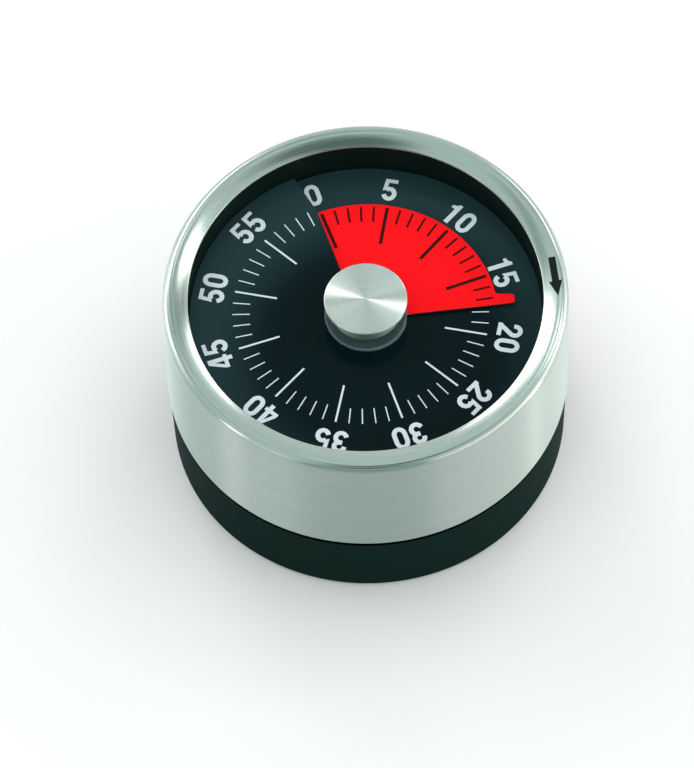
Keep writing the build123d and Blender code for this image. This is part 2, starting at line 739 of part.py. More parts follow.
def make_trip_arm():
    """Arm on the hammer's arbor whose nose waits beside the cam."""
    nose = polar(CAM_RADIUS + TRIP_GAP + TRIP_ARM / 2, HAMMER_ANGLE)
    outline = bar(hammer_at, nose, TRIP_ARM) + Pos(*hammer_at) * Circle(PALLET_HUB)
    outline -= Pos(*hammer_at) * Circle(train_bore)
    return prism(outline, cam_low, cam_top)


def make_hammer_arbor():
    """Long arbor through both plates, down to the hammer."""
    low = floor_top + BELL_CLEARANCE - END_SHAKE
    return rod(ARBOR_RADIUS, low, plate_high_top + END_SHAKE, hammer_at)


pieces = {
    "base_shell": make_base_shell(),
    "foot_ring": make_foot_ring(),
    "steel_case": make_steel_case(),
    "liner": make_liner(),
    "case_screws": make_case_screws(),
    "dial": make_dial(),
    "red_disc": make_red_disc(),
    "disc_hub": make_disc_hub(),
    "knob": make_knob(),
    "spindle": make_spindle(),
    "spindle_bush": make_bush(),
    "bottom_plate": make_bottom_plate(),
    "top_plate": make_top_plate(),
    "pillars": make_pillars(),
    "pillar_nuts": make_pillar_nuts(),
    "movement_screws": make_movement_screws(),
    "mainspring": make_mainspring(),
    "main_wheel": make_main_wheel(),
    "clutch_spring": make_clutch_spring(),
    "alarm_cam": make_alarm_cam(),
    "second_arbor": arbor(second_at),
    "second_pinion": pinion(MAIN_MODULE, main_low, second_at, bearing(second_at, main_at)),
    "second_wheel": wheel(
        SECOND_MODULE, SECOND_TEETH, train_bore, second_low, second_at, bearing(second_at, third_at)
    ),
    "third_arbor": arbor(third_at),
    "third_pinion": pinion(SECOND_MODULE, second_low, third_at, bearing(third_at, second_at)),
    "third_wheel": wheel(
        THIRD_MODULE, THIRD_TEETH, train_bore, third_low, third_at, bearing(third_at, escape_at)
    ),
    "escape_arbor": arbor(escape_at),
    "escape_pinion": pinion(THIRD_MODULE, third_low, escape_at, bearing(escape_at, third_at)),
    "escape_wheel": make_escape_wheel(),
    "pallet_arbor": arbor(pallet_at),
    "pallet_lever": make_pallet_lever(),
    "balance_wheel": make_balance_wheel(),
    "bell": make_bell(),
    "bell_screw": make_bell_screw(),
    "hammer_arbor": make_hammer_arbor(),
    "hammer": make_hammer(),
    "trip_arm": make_trip_arm(),
}

for name, piece in pieces.items():
    export_step(piece, f"parts/{name}.step")
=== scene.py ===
"""Looks of a sixty-minute drum timer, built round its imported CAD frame.

Metres, +Z up, in the frame's own place. The minutes run clockwise seen from above. The sheets of the dial
climb clockwise by one pitch in a turn, so every print on them is laid on the same climb.
"""

import json
import logging
import math
from dataclasses import dataclass
from enum import Enum
from typing import Any, Callable, Sequence

import bmesh
import bpy
from mathutils import Matrix, Vector
from mathutils.geometry import delaunay_2d_cdt

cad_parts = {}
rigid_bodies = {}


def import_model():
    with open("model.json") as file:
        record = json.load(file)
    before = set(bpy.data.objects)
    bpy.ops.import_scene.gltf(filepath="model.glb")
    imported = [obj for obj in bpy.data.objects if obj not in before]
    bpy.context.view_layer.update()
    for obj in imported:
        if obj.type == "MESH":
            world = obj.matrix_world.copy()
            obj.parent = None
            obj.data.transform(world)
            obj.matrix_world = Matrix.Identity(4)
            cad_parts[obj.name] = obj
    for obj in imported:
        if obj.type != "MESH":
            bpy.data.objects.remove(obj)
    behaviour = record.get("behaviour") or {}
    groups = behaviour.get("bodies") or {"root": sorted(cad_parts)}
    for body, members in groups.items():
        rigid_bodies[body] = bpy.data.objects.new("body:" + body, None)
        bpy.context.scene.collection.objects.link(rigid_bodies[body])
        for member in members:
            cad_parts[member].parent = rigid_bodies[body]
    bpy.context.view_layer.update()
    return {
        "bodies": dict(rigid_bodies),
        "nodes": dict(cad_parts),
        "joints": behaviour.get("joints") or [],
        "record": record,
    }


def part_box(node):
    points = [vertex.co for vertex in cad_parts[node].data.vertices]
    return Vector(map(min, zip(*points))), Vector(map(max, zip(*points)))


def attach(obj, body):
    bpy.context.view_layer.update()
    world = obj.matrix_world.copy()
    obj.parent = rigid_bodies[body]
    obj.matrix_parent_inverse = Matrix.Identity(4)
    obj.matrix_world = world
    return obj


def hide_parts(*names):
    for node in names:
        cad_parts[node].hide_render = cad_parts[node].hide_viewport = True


Point = tuple[float, float]
Corner = tuple[float, float, float]
Faces = list[tuple[int, ...]]
Outlines = list[list[Point]]
log = logging.getLogger("timer")

MM = 0.001
AXIS: Point = (0.0, 0.0)
TURNED_UV = "turned"
SHARP_ANGLE = math.radians(35)
# Upward share of a face's normal: under the first it is a wall, over the second it is the drum's lip
UPRIGHT = 0.5
LIP_FACE = 0.6
# Steps in a whole turn, and on the rounding of an edge and of a post
FINE_TURN = 288
COARSE_TURN = 96
EDGE_STEPS = 5
POST_STEPS = 3
# Points nearer than this are one point, in a turned form and in a filled outline
TURNED_MERGE = 1e-7
FILLED_MERGE = 1e-8
# How strongly a grain stands out, and the stretch of it that runs from one colour to the other
BUMP_STRENGTH = 0.6
GRAIN_SPAN: Point = (0.25, 0.75)

# The dial's underside at its zero, how far the red sheet lies over that, and the scale printed on both
DIAL_ZERO = 36.50333 * MM
RED_LIFT = 0.85 * MM
MINUTES = 60
LONG_EVERY = 5

# Posts of the base and columns of the liner: where they stand, and their sizes
BASE_TOP = 16.5 * MM
BOSS_CIRCLE = 34.0 * MM
BOSS_ANGLES = (30, 150, 270)
BOSS_RADIUS = 4.0 * MM
POST_CIRCLE = 25.2 * MM
POST_ANGLES = (15, 130, 260)
POST_RADIUS = 2.6 * MM
POST_TOP = 13.75 * MM
BELL_POST_RADIUS = 3.5 * MM
BELL_POST_TOP = 9.2 * MM
SCREW_HOLE = 1.24 * MM
POST_ROUND = 0.2 * MM
HOLE_ROUND = 0.1 * MM
# How far a post or column runs into what carries it
POST_SINK = 0.1 * MM
# What the bevel under the lip takes off the height of the liner
BEVEL_DROP = 0.2 * MM


class Body(str, Enum):
    """Moving bodies of the frame that the pieces ride on."""

    BASE = "base"
    WINDER = "winder"
    DISC = "disc"


def linear(code: str) -> tuple[float, float, float, float]:
    """Turns an sRGB hex colour to linear RGBA.

    Args:
        code: Six hex digits.

    Returns:
        Linear red, green and blue, and full alpha.
    """
    values = [int(code[i:i + 2], 16) / 255 for i in (0, 2, 4)]
    red, green, blue = (v / 12.92 if v <= 0.04045 else ((v + 0.055) / 1.055) ** 2.4 for v in values)
    return red, green, blue, 1.0


def add_node(tree: Any, kind: str, inputs: dict | None = None, **settings: Any) -> Any:
    """Adds a node to a tree, with its settings, values and links.

    Args:
        tree: Shader or geometry node tree.
        kind: Blender's type name of the node.
        inputs: Input name or index to a value, or to the output socket that feeds it.
        settings: Attributes of the node.

    Returns:
        The new node.
    """
    node = tree.nodes.new(kind)
    for key, value in settings.items():
        setattr(node, key, value)
    for key, value in (inputs or {}).items():
        if isinstance(value, bpy.types.NodeSocket):
            tree.links.new(value, node.inputs[key])
        else:
            node.inputs[key].default_value = value
    return node


def math_out(tree: Any, operation: str, *values: Any) -> Any:
    """Adds a math node with its inputs in order, and returns its output socket."""
    return add_node(tree, "ShaderNodeMath", dict(enumerate(values)), operation=operation).outputs[0]


def vector_out(tree: Any, operation: str, *values: Any, out: str = "Vector", **named: Any) -> Any:
    """Adds a vector math node with its inputs in order or by name, and returns the output that is named."""
    inputs = {**dict(enumerate(values)), **named}
    return add_node(tree, "ShaderNodeVectorMath", inputs, operation=operation).outputs[out]


def in_plan(tree: Any, place: Any) -> Any:
    """Adds a node that takes the height off a place, and returns its output socket."""
    return vector_out(tree, "MULTIPLY", place, (1, 1, 0))


def object_place(tree: Any) -> Any:
    """Adds a node for the place on the piece, in metres, and returns its output socket."""
    return add_node(tree, "ShaderNodeTexCoord").outputs["Object"]


def grain_out(tree: Any, place: Any, scale: float = 1.0, **named: float) -> Any:
    """Adds a noise at a place, of so many grains in a unit, and returns its socket, from 0 to 1."""
    inputs = {"Vector": place, "Scale": scale, "Detail": 2.0, **named}
    return add_node(tree, "ShaderNodeTexNoise", inputs).outputs["Fac"]


def smooth_share(tree: Any, value: Any, start: float, end: float) -> Any:
    """Adds a node that rises softly from 0 to 1 between two values, and returns its output socket."""
    inputs = {"Value": value, "From Min": start, "From Max": end}
    return add_node(tree, "ShaderNodeMapRange", inputs, interpolation_type="SMOOTHSTEP").outputs[0]


def mixed_colour(tree: Any, share: Any, first: Any, second: Any) -> Any:
    """Adds a mix of two colours, the second by its share, and returns its output socket."""
    return add_node(tree, "ShaderNodeMix", {0: share, 6: first, 7: second}, data_type="RGBA").outputs[2]


def polar(radius: float, angle: float) -> Point:
    """Place in plan at a radius and an angle in degrees, counter-clockwise from +X."""
    return radius * math.cos(math.radians(angle)), radius * math.sin(math.radians(angle))


@dataclass(frozen=True)
class Finish:
    """A surface as the eye sees it: what it is made of and how it was made.

    Colours are sRGB hex, and pattern sizes are millimetres.
    """

    name: str
    colour: str
    roughness: float = 0.5
    spread: float = 0.05

    def material(self) -> bpy.types.Material:
        """Returns the finish as a material, made once."""
        found = bpy.data.materials.get(self.name)
        if found:
            return found
        made = bpy.data.materials.new(self.name)
        made.use_nodes = True
        tree = made.node_tree
        shader = tree.nodes["Principled BSDF"]
        shader.inputs["Base Color"].default_value = linear(self.colour)
        shader.inputs["Roughness"].default_value = self.roughness
        self.dress(tree, shader)
        return made

    def dress(self, tree: Any, shader: Any) -> None:
        """Adds the finish's own nodes; each kind of finish has its own."""
        raise NotImplementedError

    def mottle(self, tree: Any, shader: Any, grain: Any, depth: float, low: str | None = None) -> None:
        """Lets a grain vary the roughness, the height and, where a second colour is given, the colour.

        Args:
            tree: The material's node tree.
            shader: Its shader.
            grain: Output socket of the grain, from 0 to 1.
            depth: Height of the grain in millimetres.
            low: Colour at the grain's low end.
        """
        low_end, high_end = self.roughness - self.spread, self.roughness + self.spread
        rough = add_node(tree, "ShaderNodeMapRange", {"Value": grain, "To Min": low_end, "To Max": high_end})
        relief = {"Height": grain, "Distance": depth * MM, "Strength": BUMP_STRENGTH}
        bump = add_node(tree, "ShaderNodeBump", relief)
        tree.links.new(rough.outputs[0], shader.inputs["Roughness"])
        tree.links.new(bump.outputs[0], shader.inputs["Normal"])
        if low:
            ramp = add_node(tree, "ShaderNodeValToRGB", {"Fac": grain})
            for stop, share, colour in zip(ramp.color_ramp.elements, GRAIN_SPAN, (low, self.colour)):
                stop.position = share
                stop.color = linear(colour)
            tree.links.new(ramp.outputs[0], shader.inputs["Base Color"])


@dataclass(frozen=True)
class RoundBrushed(Finish):
    """Metal brushed or turned about the Z axis: fine lines round it draw the lights out across them."""

    low: str = "808080"
    line: float = 0.3
    streak: float = 14.0
    reach: float = 38.8
    depth: float = 0.004
    pull: float = 0.7

    def dress(self, tree: Any, shader: Any) -> None:
        """Adds lines that run round the axis, drawn wider than the real ones so that they show."""
        place = object_place(tree)
        flat = in_plan(tree, place)
        radius = vector_out(tree, "LENGTH", flat, out="Value")
        toward = vector_out(tree, "NORMALIZE", flat)
        height = add_node(tree, "ShaderNodeSeparateXYZ", {0: place}).outputs["Z"]
        lines = math_out(tree, "MULTIPLY", math_out(tree, "ADD", radius, height), 1 / (self.line * MM))
        up = add_node(tree, "ShaderNodeCombineXYZ", {"Z": lines}).outputs[0]
        along = vector_out(tree, "SCALE", toward, Scale=self.reach / self.streak)
        grain = grain_out(tree, vector_out(tree, "ADD", along, up), Detail=3.0, Roughness=0.6)
        self.mottle(tree, shader, grain, self.depth, self.low)
        tangent = add_node(tree, "ShaderNodeTangent", direction_type="UV_MAP", uv_map=TURNED_UV)
        shader.inputs["Metallic"].default_value = 1.0
        shader.inputs["Anisotropic"].default_value = self.pull
        tree.links.new(tangent.outputs[0], shader.inputs["Tangent"])


@dataclass(frozen=True)
class GrainedMetal(Finish):
    """Rolled, plated or polished metal with a grain that runs along one axis of the piece."""

    low: str = "808080"
    grain: tuple[float, float, float] = (2.0, 0.2, 0.2)
    depth: float = 0.002

    def dress(self, tree: Any, shader: Any) -> None:
        """Adds a noise stretched to the grain's length, width and height."""
        scale = tuple(1 / (size * MM) for size in self.grain)
        mapped = add_node(tree, "ShaderNodeMapping", {"Vector": object_place(tree), "Scale": scale})
        self.mottle(tree, shader, grain_out(tree, mapped.outputs[0]), self.depth, self.low)
        shader.inputs["Metallic"].default_value = 1.0


@dataclass(frozen=True)
class Plastic(Finish):
    """Moulded, rolled or printed plastic: an even colour under a skin with a fine grain."""

    low: str | None = None
    grain: float = 0.35
    depth: float = 0.01
    index: float = 1.5
    sheen: float = 0.5

    def dress(self, tree: Any, shader: Any) -> None:
        """Adds the skin's grain, drawn coarse enough to show."""
        grain = grain_out(tree, object_place(tree), 1 / (self.grain * MM))
        self.mottle(tree, shader, grain, self.depth, self.low)
        shader.inputs["IOR"].default_value = self.index
        shader.inputs["Specular IOR Level"].default_value = self.sheen


@dataclass(frozen=True)
class PrintedFilm(Plastic):
    """Printed film that turns paler towards the rim: a painted reflection of the room, a grey sheen mixed in
    by distance from a middle.
    """

    # The painted reflection: its grey at the rim, its middle in plan, and the distances from that middle over
    # which it grows
    rim: str = "22393D"
    middle: Point = (3.0, -8.0)
    thin: Point = (20.0, 36.0)

    def dress(self, tree: Any, shader: Any) -> None:
        """Adds the skin, and the painted reflection: a paler grey from one distance off the middle to the
        other.
        """
        super().dress(tree, shader)
        # Painted reflection: the rim's grey is mixed into the print's colour by distance from the middle
        middle = (self.middle[0] * MM, self.middle[1] * MM, 0)
        off = vector_out(tree, "DISTANCE", in_plan(tree, object_place(tree)), middle, out="Value")
        share = smooth_share(tree, off, self.thin[0] * MM, self.thin[1] * MM)
        print_colour = shader.inputs["Base Color"].links[0].from_socket
        mixed = mixed_colour(tree, share, print_colour, linear(self.rim))
        tree.links.new(mixed, shader.inputs["Base Color"])


@dataclass(frozen=True)
class ClearPlastic(Finish):
    """Cast clear plastic with faint flow marks."""

    index: float = 1.49
    grain: float = 1.5
    depth: float = 0.01
    clear: float = 0.9

    def dress(self, tree: Any, shader: Any) -> None:
        """Adds the flow marks and lets light through."""
        grain = grain_out(tree, object_place(tree), 1 / (self.grain * MM))
        self.mottle(tree, shader, grain, self.depth)
        shader.inputs["IOR"].default_value = self.index
        shader.inputs["Transmission Weight"].default_value = self.clear


# Wall of the drum: pale steel whose level brushing draws the lamps out into soft upright bands
BRUSHED_STEEL = RoundBrushed(
    "brushed_stainless_steel", "C3CECA", 0.42, 0.03,
    low="B2BFBA", line=0.22, streak=26.0, depth=0.001, pull=1.0,
)
# Lip of the drum: smoother steel that mirrors the lamps more clearly, with fainter lines
ROLLED_STEEL = RoundBrushed(
    "rolled_stainless_lip", "C2CDC9", 0.165, 0.03,
    low="B0BEB9", line=0.25, streak=9.0, depth=0.001, pull=0.6,
)
# Face of the knob: fine turned rings that gather the light into two bright wedges
TURNED_ALUMINIUM = RoundBrushed(
    "turned_aluminium", "D7DDDA", 0.2, 0.015,
    low="CBD2CF", line=0.16, streak=24.0, reach=7.97, depth=0.0006, pull=1.0,
)
# Edge and neck of the knob: duller and darker than its face
PARTED_ALUMINIUM = RoundBrushed(
    "parted_aluminium_edge", "BBC7C3", 0.45, 0.03,
    low="ADBAB6", line=0.16, streak=24.0, reach=7.97, depth=0.001, pull=1.0,
)
# Base: matt greenish black with hardly any shine
BASE_ABS = Plastic("spark_eroded_black_ABS", "132825", 0.45, 0.05, low="112422", sheen=0.01, index=1.3)
# Base inside the gap under the drum: painted shade, the deepest black, which draws the gap's dark shadow line
# between the two
GAP_SHADE_ABS = Plastic("black_ABS_with_painted_gap_shade", "010403", 0.3, 0.03, low="010302", sheen=0.05)
# Wall round the dial: matt black without lights in it
LINER_ABS = Plastic("moulded_black_ABS", "132522", 0.5, 0.05, low="10201E", sheen=0.05)
# Ring under the base: dull charcoal
FOOT_RUBBER = Plastic(
    "moulded_black_rubber", "121616", 0.8, 0.05, low="0D1010", grain=0.5, depth=0.02, sheen=0.2
)
# Dial: smooth blue-black print, with a painted reflection that turns it greyer towards its rim
DIAL_FILM = PrintedFilm(
    "printed_black_polyester_film", "07181B", 0.1, 0.02, low="061619", grain=4.0, depth=0.0005, sheen=0.05
)
# Red sheet: a strong, even signal red without gloss
RED_FILM = Plastic(
    "printed_red_polyester_film", "F6121A", 0.5, 0.04, low="F31018", grain=1.2, depth=0.0005, sheen=0.04
)
# Cut edge of the dial: a thin greyish line along the slit
DIAL_EDGE = Plastic("cut_edge_of_grey_film", "7E6C72", 0.5, 0.05, low="6A5A60", grain=0.3)
# Cut edge of the red sheet: a line of lighter red
RED_EDGE = Plastic("cut_edge_of_red_film", "F04A48", 0.5, 0.05, low="DC3A38", grain=0.3)
# Inner margin of the red sheet: milky unprinted film, coloured pale as a painted highlight of the ring round
# the hub
BARE_FILM_AND_HIGHLIGHT = Plastic("unprinted_film_and_painted_highlight", "B4C6C8", 0.3, 0.03, low="A9BCBE", grain=0.8)
# Hub under the knob: smoky and half clear, so that it stands out a little from the dial
CLEAR_HUB = ClearPlastic("cast_smoked_acrylic", "465C5F", 0.12, 0.03, clear=0.35)
# Rim of the hub: the pale line that light makes in a cut edge of clear plastic
HUB_EDGE = Plastic("turned_edge_of_smoked_acrylic", "8CA3A5", 0.3, 0.05, low="7E9597", grain=0.2)
# Marks and numerals of the dial: a flat, cool white
PALE_INK = Plastic(
    "screen_printed_pale_ink", "D3DEE3", 0.55, 0.05, low="C9D4DA", grain=0.25, depth=0.002, sheen=0.2
)
# Marks on the red sheet: a red that is almost black
DARK_INK = Plastic(
    "screen_printed_dark_ink", "3A0205", 0.55, 0.05, low="2C0103", grain=0.25, depth=0.002, sheen=0.1
)
# Arrow on the lip: flat black on the bright steel
ARROW_INK = Plastic(
    "pad_printed_dark_ink", "15221F", 0.45, 0.05, low="101B18", grain=0.25, depth=0.002, sheen=0.05
)
# Turned steel of the movement: bright grey with a close grain
POLISHED_STEEL = GrainedMetal("turned_arbor_steel", "B9BDC1", 0.28, 0.05, low="9A9FA4", grain=(0.2, 0.2, 0.1))
# Spring steel: dark blue-grey with a satin shine
SPRING_STEEL = GrainedMetal("blued_spring_steel", "4C5666", 0.32, 0.06, low="39414F", grain=(0.15, 0.15, 2.0))
# Brass of the wheels: warm yellow, milled fine
WHEEL_BRASS = GrainedMetal("milled_brass", "C9A34F", 0.33, 0.06, low="A98436", grain=(0.2, 0.2, 0.2))
# Brass of the plates: a little paler, with the long grain of rolled sheet
PLATE_BRASS = GrainedMetal("rolled_sheet_brass", "CDA958", 0.36, 0.07, low="AF8A3F", grain=(6.0, 0.3, 0.3))
# Bell: bright and smooth, as plating is
PLATED_STEEL = GrainedMetal(
    "nickel_plated_bell_steel", "C6C9C6", 0.2, 0.04, low="ADB1AE", grain=(1.5, 1.5, 0.3)
)
# Moulded pieces of the movement: ivory with a soft shine
WHEEL_ACETAL = Plastic("moulded_acetal", "D9D8CF", 0.42, 0.05, low="CDCCC2", grain=0.6)
# Floor: almost white, with a faint, soft reflection of the base; its mottle is far wider than a lacquer's
FLOOR_LACQUER = Plastic(
    "pale_satin_lacquer", "F3F1F3", 0.4, 0.03, low="F0EEF0", grain=60.0, depth=0.001, sheen=0.2
)


def rounded(corners: Sequence[Corner], steps: int = 8) -> list[Point]:
    """Rounds the corners of a closed outline.

    Args:
        corners: Radius, height and rounding of each corner, in order.
        steps: Points on each rounding.

    Returns:
        Points of the outline.
    """
    outline: list[Point] = []
    margin = 1.2  # the straight stretches keep their own shading up to this many times the rounding's reach
    for index, (r, z, radius) in enumerate(corners):
        here = Vector((r, z))
        before = Vector(corners[index - 1][:2]) - here
        after = Vector(corners[(index + 1) % len(corners)][:2]) - here
        if radius <= 0:
            outline.append((r, z))
            continue
        half = before.angle(after) / 2
        middle = here + (before.normalized() + after.normalized()).normalized() * (radius / math.sin(half))
        start = here + before.normalized() * (radius / math.tan(half)) - middle
        end = here + after.normalized() * (radius / math.tan(half)) - middle
        turn = start.angle_signed(end)
        outline.append(tuple(here + before.normalized() * (margin * radius / math.tan(half))))
        for step in range(steps + 1):
            spoke = start.copy()
            spoke.rotate(Matrix.Rotation(-turn * step / steps, 2))
            outline.append(tuple(middle + spoke))
        outline.append(tuple(here + after.normalized() * (margin * radius / math.tan(half))))
    return outline


def link_mesh(name: str, mesh: bpy.types.Mesh, finishes: Sequence[Finish]) -> bpy.types.Object:
    """Links a mesh as an object with its finishes, shaded smooth but for its sharp edges.

    Args:
        name: Name of the piece.
        mesh: Its mesh.
        finishes: Finishes of its material slots.

    Returns:
        The object.
    """
    mesh.name = name
    for finish in finishes:
        mesh.materials.append(finish.material())
    mesh.polygons.foreach_set("use_smooth", [True] * len(mesh.polygons))
    mesh.set_sharp_from_angle(angle=SHARP_ANGLE)
    piece = bpy.data.objects.new(name, mesh)
    bpy.context.scene.collection.objects.link(piece)
    return piece


def hollow_post(radius: float, low: float, high: float, is_free_above: bool) -> list[Point]:
    """Outline of a post with a screw hole, rounded at its free end.

    Args:
        radius: Radius of the post.
        low: Height of its lower end.
        high: Height of its upper end.
        is_free_above: Whether the upper end is the free one.

    Returns:
        Points of the outline.
    """
    plain, soft = (0.0, 0.0), (HOLE_ROUND, POST_ROUND)
    foot, head = (plain, soft) if is_free_above else (soft, plain)
    section = [
        (SCREW_HOLE, low, foot[0]),
        (radius, low, foot[1]),
        (radius, high, head[1]),
        (SCREW_HOLE, high, head[0]),
    ]
    return rounded(section, POST_STEPS)


def turn_outline(
    form: bmesh.types.BMesh, outline: Sequence[Point], segments: int, centre: Point = AXIS
) -> None:
    """Turns a closed outline about an upright axis, with a UV map whose first axis runs along the outline.

    Args:
        form: Mesh that the turned form is added to.
        outline: Radius and height of each point.
        segments: Steps in the turn.
        centre: Place of the axis in plan.
    """
    layer = form.loops.layers.uv.get(TURNED_UV) or form.loops.layers.uv.new(TURNED_UV)
    rings = []
    for step in range(segments):
        angle = math.tau * step / segments
        cosine, sine = math.cos(angle), math.sin(angle)
        rings.append([form.verts.new((centre[0] + r * cosine, centre[1] + r * sine, z)) for r, z in outline])
    along = [0.0]
    for index, here in enumerate(outline):
        after = outline[(index + 1) % len(outline)]
        along.append(along[-1] + math.dist(here, after) / MM)
    for step in range(segments):
        ring, ahead = rings[step], rings[(step + 1) % segments]
        for index in range(len(outline)):
            follow = (index + 1) % len(outline)
            if max(outline[index][0], outline[follow][0]) < TURNED_MERGE:
                continue
            face = form.faces.new((ring[index], ahead[index], ahead[follow], ring[follow]))
            spots = ((index, step), (index, step + 1), (index + 1, step + 1), (index + 1, step))
            for loop, (place, turn) in zip(face.loops, spots):
                loop[layer].uv = (along[place], turn * math.tau)
    bmesh.ops.remove_doubles(form, verts=form.verts, dist=TURNED_MERGE)
    bmesh.ops.recalc_face_normals(form, faces=form.faces)


def turned_piece(
    name: str, outlines: Sequence[tuple[Sequence[Point], Point]], finish: Finish, segments: int = FINE_TURN
) -> bpy.types.Object:
    """Makes a piece of turned forms.

    Args:
        name: Name of the piece.
        outlines: Outlines, each with the place of its axis in plan.
        finish: Finish of the piece.
        segments: Steps in the turn of those on the Z axis.

    Returns:
        The object.
    """
    mesh = bpy.data.meshes.new(name)
    whole = bmesh.new()
    for outline, centre in outlines:
        form = bmesh.new()
        turn_outline(form, outline, segments if centre == AXIS else COARSE_TURN // 2, centre)
        part = bpy.data.meshes.new("turned_form")
        form.to_mesh(part)
        form.free()
        whole.from_mesh(part)
        bpy.data.meshes.remove(part)
    whole.to_mesh(mesh)
    whole.free()
    return link_mesh(name, mesh, [finish])


def is_wall(face: bpy.types.MeshPolygon) -> bool:
    """Whether a face of a turned piece stands upright."""
    return abs(face.normal.z) < UPRIGHT


def finish_faces(
    piece: bpy.types.Object, finish: Finish, is_chosen: Callable[[bpy.types.MeshPolygon], bool]
) -> None:
    """Gives some faces of a piece a finish of their own.

    Args:
        piece: The piece.
        finish: Finish of those faces.
        is_chosen: Whether a face is one of them.
    """
    piece.data.materials.append(finish.material())
    for face in piece.data.polygons:
        if is_chosen(face):
            face.material_index = len(piece.data.materials) - 1


def thick_patch(
    name: str, faces: Faces, low: Sequence[Vector], high: Sequence[Vector], finishes: Sequence[Finish]
) -> bpy.types.Object:
    """Makes a closed sheet between two layers of points, walled along its edges.

    Args:
        name: Name of the piece.
        faces: Faces over the points, counter-clockwise seen from above.
        low: Points of the under layer.
        high: Points of the upper layer.
        finishes: Finish of the two layers and, where there is a second one, of the walls.

    Returns:
        The object.
    """
    count = len(low)
    edges = {(face[i], face[(i + 1) % len(face)]) for face in faces for i in range(len(face))}
    rim = sorted(edge for edge in edges if edge[::-1] not in edges)
    under = [face[::-1] for face in faces]
    over = [tuple(i + count for i in face) for face in faces]
    walls = [(a, b, b + count, a + count) for a, b in rim]
    mesh = bpy.data.meshes.new(name)
    mesh.from_pydata([*low, *high], [], under + over + walls)
    wall_slot = len(finishes) - 1
    mesh.polygons.foreach_set("material_index", [0] * (2 * len(faces)) + [wall_slot] * len(walls))
    return link_mesh(name, mesh, finishes)


def grid_faces(rows: int, columns: int) -> Faces:
    """Faces of a grid whose rows run outwards and whose columns run clockwise.

    Args:
        rows: Rows of points.
        columns: Points in a row.

    Returns:
        Faces, counter-clockwise seen from above.
    """
    faces = []
    for row in range(rows - 1):
        for column in range(columns - 1):
            first = row * columns + column
            faces.append((first, first + 1, first + columns + 1, first + columns))
    return faces


def filled(loops: Sequence[Sequence[Point]], step: float) -> tuple[list[Point], Faces]:
    """Fills closed outlines in plan, united where they overlap.

    Args:
        loops: Outlines.
        step: Longest stretch of an outline between two points.

    Returns:
        Points, and triangles over them that are counter-clockwise.
    """
    points: list[Vector] = []
    outlines: list[list[int]] = []
    for loop in loops:
        start = len(points)
        for index, here in enumerate(loop):
            after = Vector(loop[(index + 1) % len(loop)])
            count = max(1, math.ceil((after - Vector(here)).length / step))
            points += [Vector(here).lerp(after, part / count) for part in range(count)]
        outlines.append(list(range(start, len(points))))
    all_triangles = 0
    spots, _, faces, _, _, sources = delaunay_2d_cdt(points, [], outlines, all_triangles, FILLED_MERGE)
    kept = []
    for face, source in zip(faces, sources):
        if not source:
            continue
        a, b, c = (spots[i] for i in face)
        is_clockwise = (b - a).cross(c - a) < 0
        kept.append(tuple(face[::-1]) if is_clockwise else tuple(face))
    return [tuple(spot) for spot in spots], kept


@dataclass(frozen=True)
class Climb:
    """The screw surface that the dial, the red disc and the ledge under them follow.

    Angles are degrees clockwise of the dial's zero.
    """

    zero_height: float
    pitch: float = 1.6 * MM
    zero_angle: float = 107.0

    def direction(self, turn: float) -> float:
        """Angle in radians, counter-clockwise from +X, of a turn from the zero."""
        return math.radians(self.zero_angle - turn)

    def height(self, turn: float) -> float:
        """Height of the surface at a turn from the zero."""
        return self.zero_height + self.pitch * turn / 360

    def point(self, radius: float, turn: float, lift: float = 0.0) -> Vector:
        """Point of the surface at a radius and a turn, raised by a lift."""
        angle = self.direction(turn)
        return Vector((radius * math.cos(angle), radius * math.sin(angle), self.height(turn) + lift))

    def over(self, spot: Point, lift: float = 0.0, near: float = 180.0) -> Vector:
        """Point of the surface over a spot in plan.

        Args:
            spot: Place in plan.
            lift: How far the point is raised.
            near: Turn that the spot lies within half a turn of.

        Returns:
            The point.
        """
        turn = self.zero_angle - math.degrees(math.atan2(spot[1], spot[0]))
        turn += 360 * round((near - turn) / 360)
        return Vector((spot[0], spot[1], self.height(turn) + lift))


def leaning(offset: float, radius: float) -> float:
    """Degrees between a radial and the line beside it at an offset, at a radius."""
    return math.degrees(math.asin(offset / radius))


def standing_off(radius: float, distance: float) -> float:
    """How far a rounding of a corner stands off its wall at a distance from where it starts."""
    return radius - math.sqrt(radius ** 2 - max(0.0, radius - distance) ** 2)


@dataclass
class Piece:
    """A finished object with what it rides on, the slot of its finish and the nodes that it stands for."""

    shape: bpy.types.Object
    body: Body
    slot: str
    nodes: tuple[str, ...] = ()

    def settle(self) -> None:
        """Hands the piece to the frame and reports it."""
        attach(self.shape, self.body.value)
        if self.nodes:
            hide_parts(*self.nodes)
        log.info("%s rides on %s, %d faces", self.shape.name, self.body.value, len(self.shape.data.polygons))


